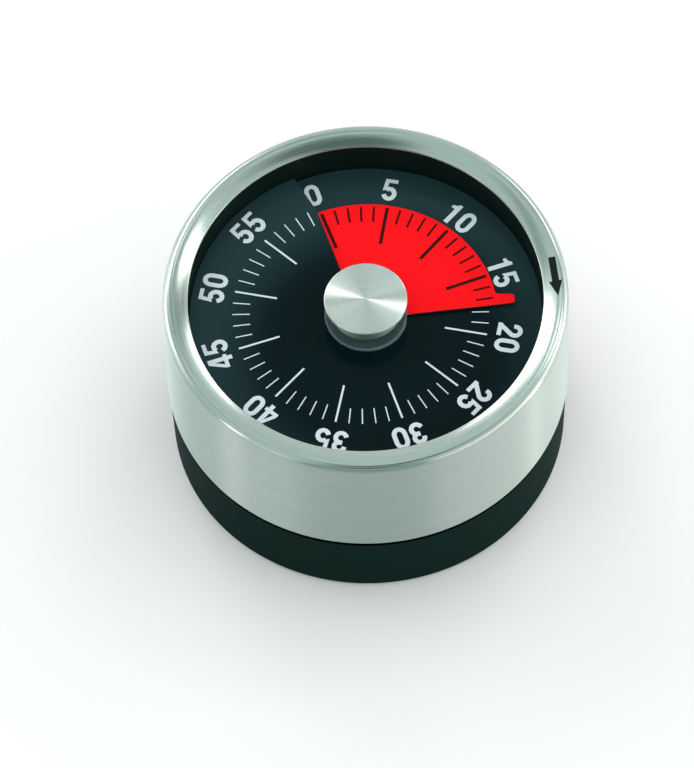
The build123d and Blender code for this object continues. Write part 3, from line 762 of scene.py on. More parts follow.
@dataclass
class Drum:
    """Brushed steel case: a drawn drum whose lip slopes down inwards, with an arrow printed on the lip."""

    radius: float
    bottom: float
    top: float
    wall: float = 0.6 * MM
    corner: float = 1.3 * MM
    corner_steps: int = 12
    inner_corner: float = 0.4 * MM
    lip_width: float = 4.8 * MM
    lip_drop: float = 1.0 * MM
    edge_round: float = 0.2 * MM
    crown: float = 0.1 * MM
    crown_steps: int = 12
    arrow_tail: Point = (36.55 * MM, 11.2)
    arrow_tip: Point = (36.75 * MM, -2.5)
    arrow_shaft: float = 1.35 * MM
    arrow_head: float = 2.6 * MM
    arrow_head_length: float = 3.4 * MM
    arrow_step: float = 0.25 * MM
    ink: float = 0.03 * MM

    @property
    def crest(self) -> float:
        """Height of the rounded corner's crest, which leaves room for the ink."""
        return self.top - self.ink

    @property
    def lip_radius(self) -> float:
        """Radius of the lip's inner edge."""
        return self.radius - self.lip_width

    @property
    def slope(self) -> float:
        """Angle of the lip, in radians."""
        return math.atan2(self.lip_drop, self.lip_width)

    @property
    def lip_edge(self) -> float:
        """Height of the lip's inner edge, under the crest of the rounded corner."""
        run = self.radius - self.corner - self.lip_radius
        return self.crest - self.corner - run * math.tan(self.slope) + self.corner / math.cos(self.slope)

    def lip_height(self, radius: float) -> float:
        """Height of the lip's upper face at a radius, out over its rounded corner."""
        middle = self.radius - self.corner
        if radius > middle - self.corner * math.sin(self.slope):
            return self.crest - self.corner + math.sqrt(self.corner ** 2 - (radius - middle) ** 2)
        share = (radius - self.lip_radius) / (middle - self.corner * math.sin(self.slope) - self.lip_radius)
        rise = (radius - self.lip_radius) * math.tan(self.slope)
        return self.lip_edge + rise + self.crown * 4 * share * (1 - share)

    def build_case(self) -> bpy.types.Object:
        """Returns the drum, turned from its section."""
        inside = self.radius - self.wall
        drop = self.wall / math.cos(self.slope)
        inner = self.lip_edge + (inside - self.lip_radius) * math.tan(self.slope) - drop
        section = [
            (inside, self.bottom, 0),
            (self.radius, self.bottom, 0),
            (self.radius, self.lip_edge + self.lip_drop, self.corner),
            (self.lip_radius, self.lip_edge, self.edge_round),
            (self.lip_radius, self.lip_edge - drop, self.edge_round),
            (inside, inner, self.inner_corner),
        ]
        outline = rounded(section, self.corner_steps)
        count = len(outline)
        flat = max(range(count), key=lambda index: outline[index][0] - outline[(index + 1) % count][0])
        outer, inner_edge = outline[flat], outline[flat + 1]
        crowned = []
        for step in range(1, self.crown_steps):
            share = step / self.crown_steps
            r = outer[0] + (inner_edge[0] - outer[0]) * share
            crowned.append((r, self.lip_height(r)))
        outline[flat + 1:flat + 1] = crowned
        case = turned_piece("brushed_case", [(outline, AXIS)], BRUSHED_STEEL)
        finish_faces(case, ROLLED_STEEL, lambda face: face.normal.z > LIP_FACE)
        return case

    def build_arrow(self) -> bpy.types.Object:
        """Returns the arrow that shows which way to wind, laid on the lip."""
        tail, tip = (Vector(polar(*end)) for end in (self.arrow_tail, self.arrow_tip))
        ahead = (tip - tail).normalized()
        aside = Vector((-ahead.y, ahead.x))
        neck = tip - ahead * self.arrow_head_length
        shaft, head = aside * self.arrow_shaft / 2, aside * self.arrow_head / 2
        corners = [tail - shaft, neck - shaft, neck - head, tip, neck + head, neck + shaft, tail + shaft]
        spots, faces = filled([corners], self.arrow_step)

        def lay(spot: Point, lift: float) -> Vector:
            """Point of the lip over a spot in plan, raised by a lift."""
            return Vector((*spot, self.lip_height(math.hypot(*spot)) + lift))

        low = [lay(spot, -self.ink) for spot in spots]
        high = [lay(spot, self.ink) for spot in spots]
        return thick_patch("lip_arrow", faces, low, high, [ARROW_INK])

    def pieces(self) -> list[Piece]:
        """Returns the drum's pieces."""
        return [
            Piece(self.build_case(), Body.BASE, "brushed_case", ("steel_case",)),
            Piece(self.build_arrow(), Body.BASE, "black_liner"),
        ]


@dataclass
class Stand:
    """Black base under the drum, with its posts and bosses, and the rubber ring that it stands on."""

    top_radius: float
    underside: float
    spigot_top: float
    ring_top: float
    ring_radius: float
    top: float = BASE_TOP
    draft: float = 0.5 * MM
    wall: float = 2.0 * MM
    floor: float = 2.2 * MM
    edge: float = 0.8 * MM
    spigot_radius: float = 38.1 * MM
    spigot_wall: float = 1.6 * MM
    boss_circle: float = BOSS_CIRCLE
    ring_play: float = 0.1 * MM
    gap_edge: float = 0.05 * MM
    shoulder_round: float = 0.12 * MM
    spigot_round: float = 0.3 * MM
    floor_round: float = 0.8 * MM
    ring_rounds: Point = (0.25 * MM, 0.1 * MM)
    posts: Sequence[tuple[Point, float, float]] = ()

    def build_base(self) -> bpy.types.Object:
        """Returns the base, turned from its section, with its posts."""
        foot = self.top_radius - self.draft
        inside = self.spigot_radius - self.spigot_wall
        half = self.ring_radius - self.boss_circle + self.ring_play
        floor_top = self.underside + self.floor
        section = [
            (0, self.underside, 0),
            (self.boss_circle - half, self.underside, 0),
            (self.boss_circle - half, self.ring_top, 0),
            (self.boss_circle + half, self.ring_top, 0),
            (self.boss_circle + half, self.underside, 0),
            (foot, self.underside, self.edge),
            (self.top_radius, self.top, self.shoulder_round),
            (self.spigot_radius, self.top, 0),
            (self.spigot_radius, self.spigot_top, self.spigot_round),
            (inside, self.spigot_top, self.spigot_round),
            (inside, self.top, 0),
            (foot - self.wall, floor_top, self.floor_round),
            (0, floor_top, 0),
        ]
        outlines = [(rounded(section), AXIS)]
        for place, size, height in self.posts:
            outlines.append((hollow_post(size, floor_top - POST_SINK, height, True), polar(*place)))

        def is_in_gap(face: bpy.types.MeshPolygon) -> bool:
            """Whether a face lies in the gap under the drum."""
            is_high = face.center.z > self.top - self.gap_edge
            return is_high and face.center.to_2d().length > inside + self.gap_edge

        base = turned_piece("black_base", outlines, BASE_ABS)
        # Painted shade: the faces in the gap under the drum get the near-black finish that stands in for its
        # shadow
        finish_faces(base, GAP_SHADE_ABS, is_in_gap)
        return base

    def build_ring(self) -> bpy.types.Object:
        """Returns the rubber ring, with rounded edges."""
        half = self.ring_radius - self.boss_circle
        inner, outer = self.boss_circle - half, self.boss_circle + half
        under, over = self.ring_rounds
        section = [
            (inner, 0, under),
            (outer, 0, under),
            (outer, self.ring_top, over),
            (inner, self.ring_top, over),
        ]
        outline = rounded(section, EDGE_STEPS)
        return turned_piece("rubber_foot", [(outline, AXIS)], FOOT_RUBBER, COARSE_TURN * 2)

    def pieces(self) -> list[Piece]:
        """Returns the stand's pieces."""
        return [
            Piece(self.build_base(), Body.BASE, "black_base", ("base_shell",)),
            Piece(self.build_ring(), Body.BASE, "foot_rubber", ("foot_ring",)),
        ]


@dataclass
class Recess:
    """Black liner: the wall round the dial, the climbing ledge under the dial and the screw columns."""

    climb: Climb
    outside: float
    top: float
    column_low: float
    bore: float = 34.2 * MM
    wall: float = 1.4 * MM
    ledge: float = 30.8 * MM
    ledge_low: float = 34.7 * MM
    ledge_thick: float = 1.5 * MM
    skirt_low: float = 22.0 * MM
    slope: float = 0.2054  # radians, as the lip's
    glue: float = 0.05 * MM
    bond_gap: float = 0.1 * MM
    bevel: float = 0.5 * MM
    bevel_round: float = 0.3 * MM
    edge_round: float = 0.15 * MM
    seat_round: float = 0.2 * MM
    edge_steps: int = 4
    column: float = 2.4 * MM
    columns: Sequence[Point] = ()
    sweep: int = 350

    def build_wall(self) -> bpy.types.Object:
        """Returns the liner's ring and columns, turned from their sections."""
        def under_lip(radius: float) -> float:
            """Height of the liner under the lip at a radius."""
            return self.top - (self.outside - radius) * math.tan(self.slope)

        outer = self.bore + self.wall
        inner = self.outside - self.wall
        ledge_top = self.ledge_low + self.ledge_thick
        section = [
            (self.ledge, self.ledge_low, 0),
            (outer, self.ledge_low, 0),
            (outer, under_lip(outer) - self.wall, 0),
            (inner, under_lip(inner) - self.wall, 0),
            (inner, self.skirt_low, 0),
            (self.outside, self.skirt_low, 0),
            (self.outside, self.top - self.bevel, self.bevel_round),
            (self.outside - self.bevel, under_lip(self.outside - self.bevel), self.bevel_round),
            (self.bore, under_lip(self.bore), self.edge_round),
            (self.bore, ledge_top, self.seat_round),
            (self.ledge, ledge_top, self.edge_round),
        ]
        outlines = [(rounded(section, self.edge_steps), AXIS)]
        column = hollow_post(self.column, self.column_low, self.ledge_low + POST_SINK, False)
        outlines += [(column, polar(*place)) for place in self.columns]
        return turned_piece("black_liner", outlines, LINER_ABS)

    def build_ramp(self) -> bpy.types.Object:
        """Returns the climbing seat of the dial on the ledge."""
        radii = (self.ledge + self.bond_gap, self.bore + self.wall / 2)
        turns = range(0, self.sweep + 1, 2)
        high = [self.climb.point(r, turn, -self.glue) for r in radii for turn in turns]
        low = [Vector((p.x, p.y, self.ledge_low + self.ledge_thick / 2)) for p in high]
        faces = [face[::-1] for face in grid_faces(len(radii), len(turns))]
        return thick_patch("dial_seat", faces, low, high, [LINER_ABS])

    def pieces(self) -> list[Piece]:
        """Returns the liner's pieces."""
        return [
            Piece(self.build_wall(), Body.BASE, "black_liner", ("liner",)),
            Piece(self.build_ramp(), Body.BASE, "black_liner"),
        ]


class TickTree:
    """Geometry nodes that lay minute marks round a climbing sheet, with every fifth one long."""

    INPUTS = {
        "NodeSocketFloat": (
            "Start", "Step", "Rise", "Base", "Outer", "Short Inner", "Long Inner",
            "Short Width", "Long Width", "Ink", "Centre X", "Centre Y",
        ),
        "NodeSocketInt": ("Count", "Phase", "Group"),
        "NodeSocketMaterial": ("Material",),
    }

    def __init__(self) -> None:
        """Builds the tree with its named inputs."""
        self.tree = bpy.data.node_groups.new("minute_marks", "GeometryNodeTree")
        face = self.tree.interface
        self.sockets = {
            name: face.new_socket(name, in_out="INPUT", socket_type=kind).identifier
            for kind, names in self.INPUTS.items()
            for name in names
        }
        face.new_socket("Geometry", in_out="OUTPUT", socket_type="NodeSocketGeometry")
        self.wire(self.tree)

    def wire(self, tree: Any) -> None:
        """Adds the nodes: a point for each mark, a bar on each point, made real and given its ink."""
        given = add_node(tree, "NodeGroupInput").outputs
        index = add_node(tree, "GeometryNodeInputIndex").outputs[0]
        angle = math_out(tree, "SUBTRACT", given["Start"], math_out(tree, "MULTIPLY", index, given["Step"]))
        place = math_out(tree, "FLOORED_MODULO", math_out(tree, "ADD", index, given["Phase"]), given["Group"])
        is_long = math_out(tree, "LESS_THAN", place, 0.5)
        inner = add_node(tree, "ShaderNodeMix", {0: is_long, 2: given["Short Inner"], 3: given["Long Inner"]})
        width = add_node(tree, "ShaderNodeMix", {0: is_long, 2: given["Short Width"], 3: given["Long Width"]})
        length = math_out(tree, "SUBTRACT", given["Outer"], inner.outputs[0])
        middle = math_out(tree, "SUBTRACT", given["Outer"], math_out(tree, "MULTIPLY", length, 0.5))
        x = math_out(tree, "MULTIPLY_ADD", middle, math_out(tree, "COSINE", angle), given["Centre X"])
        y = math_out(tree, "MULTIPLY_ADD", middle, math_out(tree, "SINE", angle), given["Centre Y"])
        z = math_out(tree, "ADD", given["Base"], math_out(tree, "MULTIPLY", index, given["Rise"]))
        spot = add_node(tree, "ShaderNodeCombineXYZ", {0: x, 1: y, 2: z})
        points = add_node(tree, "GeometryNodePoints", {"Count": given["Count"], "Position": spot.outputs[0]})
        bar = add_node(tree, "GeometryNodeMeshCube")
        turn = add_node(tree, "ShaderNodeCombineXYZ", {2: angle})
        size = add_node(tree, "ShaderNodeCombineXYZ", {0: length, 1: width.outputs[0], 2: given["Ink"]})
        sources = {"Points": points, "Instance": bar, "Rotation": turn, "Scale": size}
        laid = {name: node.outputs[0] for name, node in sources.items()}
        bars = add_node(tree, "GeometryNodeInstanceOnPoints", laid)
        real = add_node(tree, "GeometryNodeRealizeInstances", {0: bars.outputs[0]})
        inks = {"Geometry": real.outputs[0], "Material": given["Material"]}
        inked = add_node(tree, "GeometryNodeSetMaterial", inks)
        add_node(tree, "NodeGroupOutput", {0: inked.outputs[0]})

    def print_on(self, name: str, finish: Finish, **values: float) -> bpy.types.Object:
        """Prints a set of marks as a plain mesh.

        Args:
            name: Name of the piece.
            finish: Its ink.
            values: The tree's inputs, with spaces in their names as underscores.

        Returns:
            The object.
        """
        piece = bpy.data.objects.new(name, bpy.data.meshes.new(name))
        bpy.context.scene.collection.objects.link(piece)
        modifier = piece.modifiers.new("marks", "NODES")
        modifier.node_group = self.tree
        for key, value in values.items():
            modifier[self.sockets[key.replace("_", " ")]] = value
        modifier[self.sockets["Material"]] = finish.material()
        made = bpy.data.meshes.new_from_object(piece.evaluated_get(bpy.context.evaluated_depsgraph_get()))
        piece.modifiers.remove(modifier)
        piece.data = made
        made.name = name
        return piece


@dataclass(frozen=True)
class Numerals:
    """Bold narrow numerals, drawn with a broad pen in a cell whose origin is its lower left corner."""

    height: float = 4.9 * MM
    width: float = 2.95 * MM
    pen: float = 0.9 * MM
    gap: float = 0.5 * MM
    steps: int = 10

    def ribbon(self, line: Sequence[Point]) -> list[Point]:
        """Outline of a pen stroke along a line, with mitred bends and square ends."""
        spots = [Vector(spot) for spot in line]
        left, right = [], []
        for index, here in enumerate(spots):
            before = (here - spots[index - 1]).normalized() if index else None
            after = (spots[index + 1] - here).normalized() if index + 1 < len(spots) else None
            ahead = ((before or after) + (after or before)).normalized()
            side = Vector((-ahead.y, ahead.x)) * (self.pen / 2 / max(0.5, ahead.dot(before or after)))
            left.append(tuple(here + side))
            right.append(tuple(here - side))
        return right + left[::-1]

    def bow(self, middle: Point, size: Point, start: float, end: float) -> list[Point]:
        """Points of an elliptic arc of the pen, between two angles in degrees."""
        angles = [math.radians(start + (end - start) * step / self.steps) for step in range(self.steps + 1)]
        return [(middle[0] + size[0] * math.cos(a), middle[1] + size[1] * math.sin(a)) for a in angles]

    def block(self, *shares: Point) -> list[Point]:
        """Outline whose corners are shares of the cell."""
        return [(x * self.width, y * self.height) for x, y in shares]

    @property
    def reach(self) -> float:
        """Half the width of a bowl, to the middle of the pen."""
        return (self.width - self.pen) / 2

    def nought(self) -> Outlines:
        """Strokes of 0."""
        crown = 0.25 * self.height
        low = (self.width / 2, self.pen / 2 + crown)
        high = (self.width / 2, self.height - self.pen / 2 - crown)
        size = (self.reach, crown)
        right = self.bow(high, size, 90, 0) + self.bow(low, size, 0, -90)
        left = self.bow(low, size, 270, 180) + self.bow(high, size, 180, 90)
        return [self.ribbon(right), self.ribbon(left)]

    def one(self) -> Outlines:
        """Strokes of 1."""
        flag = ((0.52, 1), (0.45, 0.92), (0.33, 0.86), (0.14, 0.83), (0.14, 0.70))
        return [self.block((0.42, 0), (0.74, 0), (0.74, 1), *flag, (0.42, 0.70))]

    def two(self) -> Outlines:
        """Strokes of 2."""
        crown = 0.22 * self.height
        bowl = self.bow((self.width / 2, self.height - self.pen / 2 - crown), (self.reach, crown), 195, -28)
        bowl.append((0.19 * self.width, 0.11 * self.height))
        foot = self.block((0.02, 0), (0.98, 0), (0.98, 0.17), (0.02, 0.17))
        return [self.ribbon(bowl), foot]

    def three(self) -> Outlines:
        """Strokes of 3."""
        middle, waist_end = self.width / 2, 0.36 * self.width
        upper, lower = 0.195 * self.height, 0.22 * self.height
        waist = self.height - self.pen / 2 - 2 * upper
        top = self.bow((middle, waist + upper), (self.reach * 0.95, upper), 188, -90) + [(waist_end, waist)]
        bowl = self.bow((middle, self.pen / 2 + lower), (self.reach, lower), 90, -166)
        foot = [(waist_end, self.pen / 2 + 2 * lower)] + bowl
        return [self.ribbon(top), self.ribbon(foot)]

    def four(self) -> Outlines:
        """Strokes of 4."""
        stem = self.block((0.55, 0), (0.85, 0), (0.85, 1), (0.55, 1))
        bar = self.block((0, 0.2), (1, 0.2), (1, 0.36), (0, 0.36))
        slant = self.block((0, 0.36), (0.26, 0.36), (0.56, 0.75), (0.56, 1), (0.5, 1))
        return [stem, bar, slant]

    def five(self) -> Outlines:
        """Strokes of 5."""
        lower = 0.235 * self.height
        bar = self.block((0.12, 0.84), (0.94, 0.84), (0.94, 1), (0.12, 1))
        stem = self.block((0.04, 0.44), (0.28, 0.5), (0.38, 0.85), (0.12, 1))
        bowl = self.bow((self.width / 2, self.pen / 2 + lower), (self.reach, lower), 132, -166)
        return [bar, stem, self.ribbon(bowl)]

    def strokes(self, text: str) -> Outlines:
        """Outlines of a number about its centre.

        Args:
            text: Digits from 0 to 5.

        Returns:
            Closed outlines.
        """
        drawn: dict[str, Callable[[], Outlines]] = {
            "0": self.nought, "1": self.one, "2": self.two, "3": self.three, "4": self.four, "5": self.five
        }
        step = self.width + self.gap
        left = -(step * len(text) - self.gap) / 2
        outlines = []
        for place, digit in enumerate(text):
            for stroke in drawn[digit]():
                outlines.append([(x + left + step * place, y - self.height / 2) for x, y in stroke])
        return outlines


@dataclass
class Dial:
    """Printed black sheet that climbs round the spindle, slit beside its zero, with marks and numerals."""

    climb: Climb
    marks: TickTree
    hole: float = 8.0 * MM
    radius: float = 33.8 * MM
    thick: float = 0.4 * MM
    slit: float = 1.44 * MM
    knee: float = 24.9 * MM
    lean: float = 12.0
    lap: float = 1.5 * MM
    print_centre: Point = (-1.0 * MM, 0.6 * MM)
    minute: float = 6.0
    mark_outer: float = 24.6 * MM
    short_inner: float = 21.3 * MM
    long_inner: float = 16.4 * MM
    short_width: float = 0.22 * MM
    long_width: float = 0.38 * MM
    ink: float = 0.03 * MM
    numeral_radius: float = 28.8 * MM
    numeral_step: float = 0.5 * MM
    numerals: Numerals = Numerals()
    rows: int = 20
    columns: int = 361

    def slit_turn(self, radius: float, lap: float = 0.0) -> float:
        """Degrees that the slit's line stands counter-clockwise of the zero, at a radius.

        Args:
            radius: Distance from the axis.
            lap: How far the low flank reaches under that line.

        Returns:
            The angle: along the zero's radial as far as the knee, and leaning away from it past that.
        """
        lean = math.radians(self.lean)
        aside = self.slit * math.cos(lean) - self.knee * math.sin(lean) + lap
        return max(leaning(self.slit + lap, radius), self.lean + leaning(max(-radius, aside), radius))

    def build_sheet(self) -> bpy.types.Object:
        """Returns the sheet, with its high flank over its low one at the slit."""
        low, high = [], []
        for row in range(self.rows):
            r = self.hole + (self.radius - self.hole) * row / (self.rows - 1)
            start = -self.slit_turn(r, self.lap)
            sweep = 360 - self.slit_turn(r) - start
            for column in range(self.columns):
                turn = start + sweep * column / (self.columns - 1)
                low.append(self.climb.point(r, turn))
                high.append(self.climb.point(r, turn, self.thick))
        faces = [face[::-1] for face in grid_faces(self.rows, self.columns)]
        return thick_patch("dial_sheet", faces, low, high, [DIAL_FILM, DIAL_EDGE])

    def mark_sizes(self) -> dict[str, float]:
        """Returns what the marks on this sheet and on the red one have in common."""
        return {
            "Outer": self.mark_outer,
            "Short_Inner": self.short_inner,
            "Long_Inner": self.long_inner,
            "Ink": 2 * self.ink,
            "Group": LONG_EVERY,
        }

    def build_marks(self) -> bpy.types.Object:
        """Returns the minute marks printed on the sheet."""
        return self.marks.print_on(
            "dial_marks",
            PALE_INK,
            **self.mark_sizes(),
            Start=self.climb.direction(0),
            Step=math.radians(self.minute),
            Rise=self.climb.pitch * self.minute / 360,
            Base=self.climb.height(0) + self.thick,
            Short_Width=self.short_width,
            Long_Width=self.long_width,
            Centre_X=self.print_centre[0],
            Centre_Y=self.print_centre[1],
            Count=MINUTES,
            Phase=0,
        )

    def build_numerals(self) -> bpy.types.Object:
        """Returns the numerals, tops outwards, at every fifth minute."""
        low: list[Vector] = []
        high: list[Vector] = []
        faces: Faces = []
        for minutes in range(0, MINUTES, LONG_EVERY):
            turn = self.minute * minutes
            angle = self.climb.direction(turn)
            outward = Vector((math.cos(angle), math.sin(angle)))
            clockwise = Vector((outward.y, -outward.x))
            spots, triangles = filled(self.numerals.strokes(str(minutes)), self.numeral_step)
            faces += [tuple(i + len(low) for i in face) for face in triangles]
            for x, y in spots:
                spot = Vector(self.print_centre) + outward * (self.numeral_radius + y) + clockwise * x
                low.append(self.climb.over(spot, self.thick - self.ink, turn))
                high.append(self.climb.over(spot, self.thick + self.ink, turn))
        return thick_patch("dial_numerals", faces, low, high, [PALE_INK])

    def pieces(self) -> list[Piece]:
        """Returns the dial's pieces."""
        return [
            Piece(self.build_sheet(), Body.BASE, "dial_black", ("dial",)),
            Piece(self.build_marks(), Body.BASE, "dial_black"),
            Piece(self.build_numerals(), Body.BASE, "dial_black"),
        ]


@dataclass
class RedDisc:
    """Red sheet that comes up through the dial's slit, with its pointer and its own marks."""

    climb: Climb
    marks: TickTree
    dial: Dial
    set_minutes: int = 17
    inner: float = 7.85 * MM
    radius: float = 25.2 * MM
    thick: float = 0.3 * MM
    edge: float = 0.85 * MM
    slit: float = 1.2 * MM
    tab_length: float = 3.5 * MM
    tab_root: float = 2.4 * MM
    tab_tip: float = 1.9 * MM
    tab_round: float = 0.4 * MM
    root_round: float = 0.6 * MM
    bare: float = 0.5 * MM
    mark_lead: float = 1.6
    short_width: float = 0.4 * MM
    long_width: float = 0.64 * MM
    rows: int = 16
    columns: int = 352
    tab_columns: int = 8
    tab_steps: int = 6
    hidden_marks: int = 41

    @property
    def set_turn(self) -> float:
        """Turn of the minute that the disc is set to."""
        return self.dial.minute * self.set_minutes

    def tab_rows(self) -> list[list[Point]]:
        """Rows over the pointer, from the rim to its rounded end, as distances along and aside its radial."""
        end = self.radius + self.tab_length
        steps = self.tab_steps
        outs = [self.radius + self.root_round * step / steps for step in range(1, steps + 1)]
        outs += [end - self.tab_round * (1 - step / steps) for step in range(steps + 1)]
        spans = []
        for out in outs:
            width = self.tab_root + (self.tab_tip - self.tab_root) * (out - self.radius) / self.tab_length
            flare = standing_off(self.root_round, out - self.radius)
            inset = standing_off(self.tab_round, end - out)
            spans.append((out, inset - self.edge, width - self.edge + flare - inset))
        shares = [column / self.tab_columns for column in range(self.tab_columns + 1)]
        return [[(out, left + (right - left) * share) for share in shares] for out, right, left in spans]

    def build_sheet(self) -> bpy.types.Object:
        """Returns the sheet with its pointer."""
        across = self.columns + self.tab_columns + 1
        points: list[Vector] = []
        root = self.tab_root - self.edge + self.root_round
        printed = self.inner + self.bare
        width = self.radius - printed
        radii = [self.inner] + [printed + width * row / (self.rows - 2) for row in range(self.rows - 1)]
        pointer = range(self.tab_columns + 1)
        for r in radii:
            tail = self.set_turn - 360 + leaning(self.edge + self.slit, r)
            shoulder = self.set_turn - leaning(root, r)
            lead = self.set_turn + leaning(self.edge, r)
            turns = [tail + (shoulder - tail) * column / self.columns for column in range(self.columns)]
            turns += [shoulder + (lead - shoulder) * column / self.tab_columns for column in pointer]
            points += [self.climb.point(r, turn) for turn in turns]
        faces = [face[::-1] for face in grid_faces(self.rows, across)]
        last = [len(points) - self.tab_columns - 1 + column for column in pointer]
        angle = self.climb.direction(self.set_turn)
        outward = Vector((math.cos(angle), math.sin(angle)))
        aside = Vector((-outward.y, outward.x))
        for row in self.tab_rows():
            fresh = []
            for out, off in row:
                spot = outward * out + aside * off
                fresh.append(len(points))
                points.append(self.climb.over(spot, 0.0, self.set_turn))
            pairs = zip(last, last[1:], fresh, fresh[1:])
            faces += [(a, c, d, b) for a, b, c, d in pairs]
            last = fresh
        high = [point + Vector((0, 0, self.thick)) for point in points]
        sheet = thick_patch("red_sheet", faces, points, high, [RED_FILM, RED_EDGE, BARE_FILM_AND_HIGHLIGHT])
        # Where the sheet lies under the dial, its inner margin gets the pale film: a painted highlight that
        # shows as a ring round the hub
        shown = self.set_turn + self.dial.minute
        spots = [vertex.co.to_2d().length for vertex in sheet.data.vertices]
        for face in sheet.data.polygons:
            is_wall = face.material_index > 0
            is_inner = max(spots[i] for i in face.vertices) < printed + self.bare / 10
            turn = (self.climb.zero_angle - math.degrees(math.atan2(face.center.y, face.center.x))) % 360
            face.material_index = 2 if is_inner and turn > shown else int(is_wall)
        return sheet

    def build_marks(self) -> bpy.types.Object:
        """Returns the dark minute marks on the sheet, from its leading edge back."""
        return self.marks.print_on(
            "red_marks",
            DARK_INK,
            **self.dial.mark_sizes(),
            Start=self.climb.direction(self.set_turn - self.mark_lead),
            Step=-math.radians(self.dial.minute),
            Rise=-self.climb.pitch * self.dial.minute / 360,
            Base=self.climb.height(self.set_turn) + self.thick,
            Short_Width=self.short_width,
            Long_Width=self.long_width,
            Centre_X=AXIS[0],
            Centre_Y=AXIS[1],
            Count=self.set_minutes + self.hidden_marks,
            Phase=-self.set_minutes,
        )

    def pieces(self) -> list[Piece]:
        """Returns the disc's pieces."""
        return [
            Piece(self.build_sheet(), Body.DISC, "disc_red", ("red_disc",)),
            Piece(self.build_marks(), Body.DISC, "disc_red"),
        ]


@dataclass
class Winder:
    """Turned knob on the spindle, and the clear hub under it that carries the red disc."""

    knob_radius: float
    knob_top: float
    knob_bottom: float
    hub_radius: float
    hub_low: float
    hub_top: float
    flange: float = 0.8 * MM
    neck: float = 6.8 * MM
    top_round: float = 0.2 * MM
    neck_round: float = 0.15 * MM
    edge_round: float = 0.1 * MM
    bore_round: float = 0.05 * MM
    spindle: float = 2.0 * MM
    slide: float = 0.06 * MM

    def build_knob(self) -> bpy.types.Object:
        """Returns the knob, turned from its section."""
        under = self.knob_top - self.flange
        section = [
            (0, self.knob_bottom, 0),
            (self.neck, self.knob_bottom, self.neck_round),
            (self.neck, under, self.edge_round),
            (self.knob_radius, under, self.edge_round),
            (self.knob_radius, self.knob_top, self.top_round),
            (0, self.knob_top, 0),
        ]
        knob = turned_piece("turned_knob", [(rounded(section, EDGE_STEPS), AXIS)], TURNED_ALUMINIUM)
        finish_faces(knob, PARTED_ALUMINIUM, is_wall)
        return knob

    def build_hub(self) -> bpy.types.Object:
        """Returns the clear hub, with softened edges."""
        bore = self.spindle + self.slide
        section = [
            (bore, self.hub_low, self.bore_round),
            (self.hub_radius, self.hub_low, self.edge_round),
            (self.hub_radius, self.hub_top, self.top_round),
            (bore, self.hub_top, self.bore_round),
        ]
        hub = turned_piece("clear_hub", [(rounded(section, EDGE_STEPS), AXIS)], CLEAR_HUB)
        finish_faces(hub, HUB_EDGE, is_wall)
        return hub

    def pieces(self) -> list[Piece]:
        """Returns the winder's pieces."""
        return [
            Piece(self.build_knob(), Body.WINDER, "turned_knob", ("knob",)),
            Piece(self.build_hub(), Body.DISC, "clear_hub", ("disc_hub",)),
        ]


class Movement:
    """The clockwork inside, whose CAD pieces keep their shape and get their finishes."""

    FINISHES = {
        "arbor_steel": POLISHED_STEEL,
        "spring_steel": SPRING_STEEL,
        "wheel_brass": WHEEL_BRASS,
        "plate_brass": PLATE_BRASS,
        "wheel_acetal": WHEEL_ACETAL,
        "bell_plated": PLATED_STEEL,
    }

    def dress(self, frame: dict, hidden: set[str]) -> None:
        """Gives each shown CAD node the finish of its slot.

        Args:
            frame: The loaded frame.
            hidden: Nodes that a modelled piece stands for.
        """
        for entry in frame["record"]["subparts"]:
            name = entry["node"]
            if name in hidden:
                continue
            finish = self.FINISHES[entry["material_slot"]]
            data = frame["nodes"][name].data
            data.materials.clear()
            data.materials.append(finish.material())
            log.info("%s is %s", name, finish.name)


class LampKind(Enum):
    """Kinds of lamp: a soft box that shows in the metal, and a wide one that only lightens the shadows."""

    BOX = "box"
    FILL = "fill"


@dataclass(frozen=True)
class Lamp:
    """A lamp: where it hangs round the timer, its size and its power."""

    name: str
    azimuth: float
    elevation: float
    distance: float
    size: Point
    power: float
    colour: str = "FFF4F0"
    spin: float = 0.0
    kind: LampKind = LampKind.BOX


@dataclass(frozen=True)
class SkyPatch:
    """A darker patch of the sky: its colour, middle, reach and lean in plan, and its soft edge's span."""

    colour: str
    middle: Point
    reach: Point
    lean: float
    edge: Point = (0.65, 1.35)


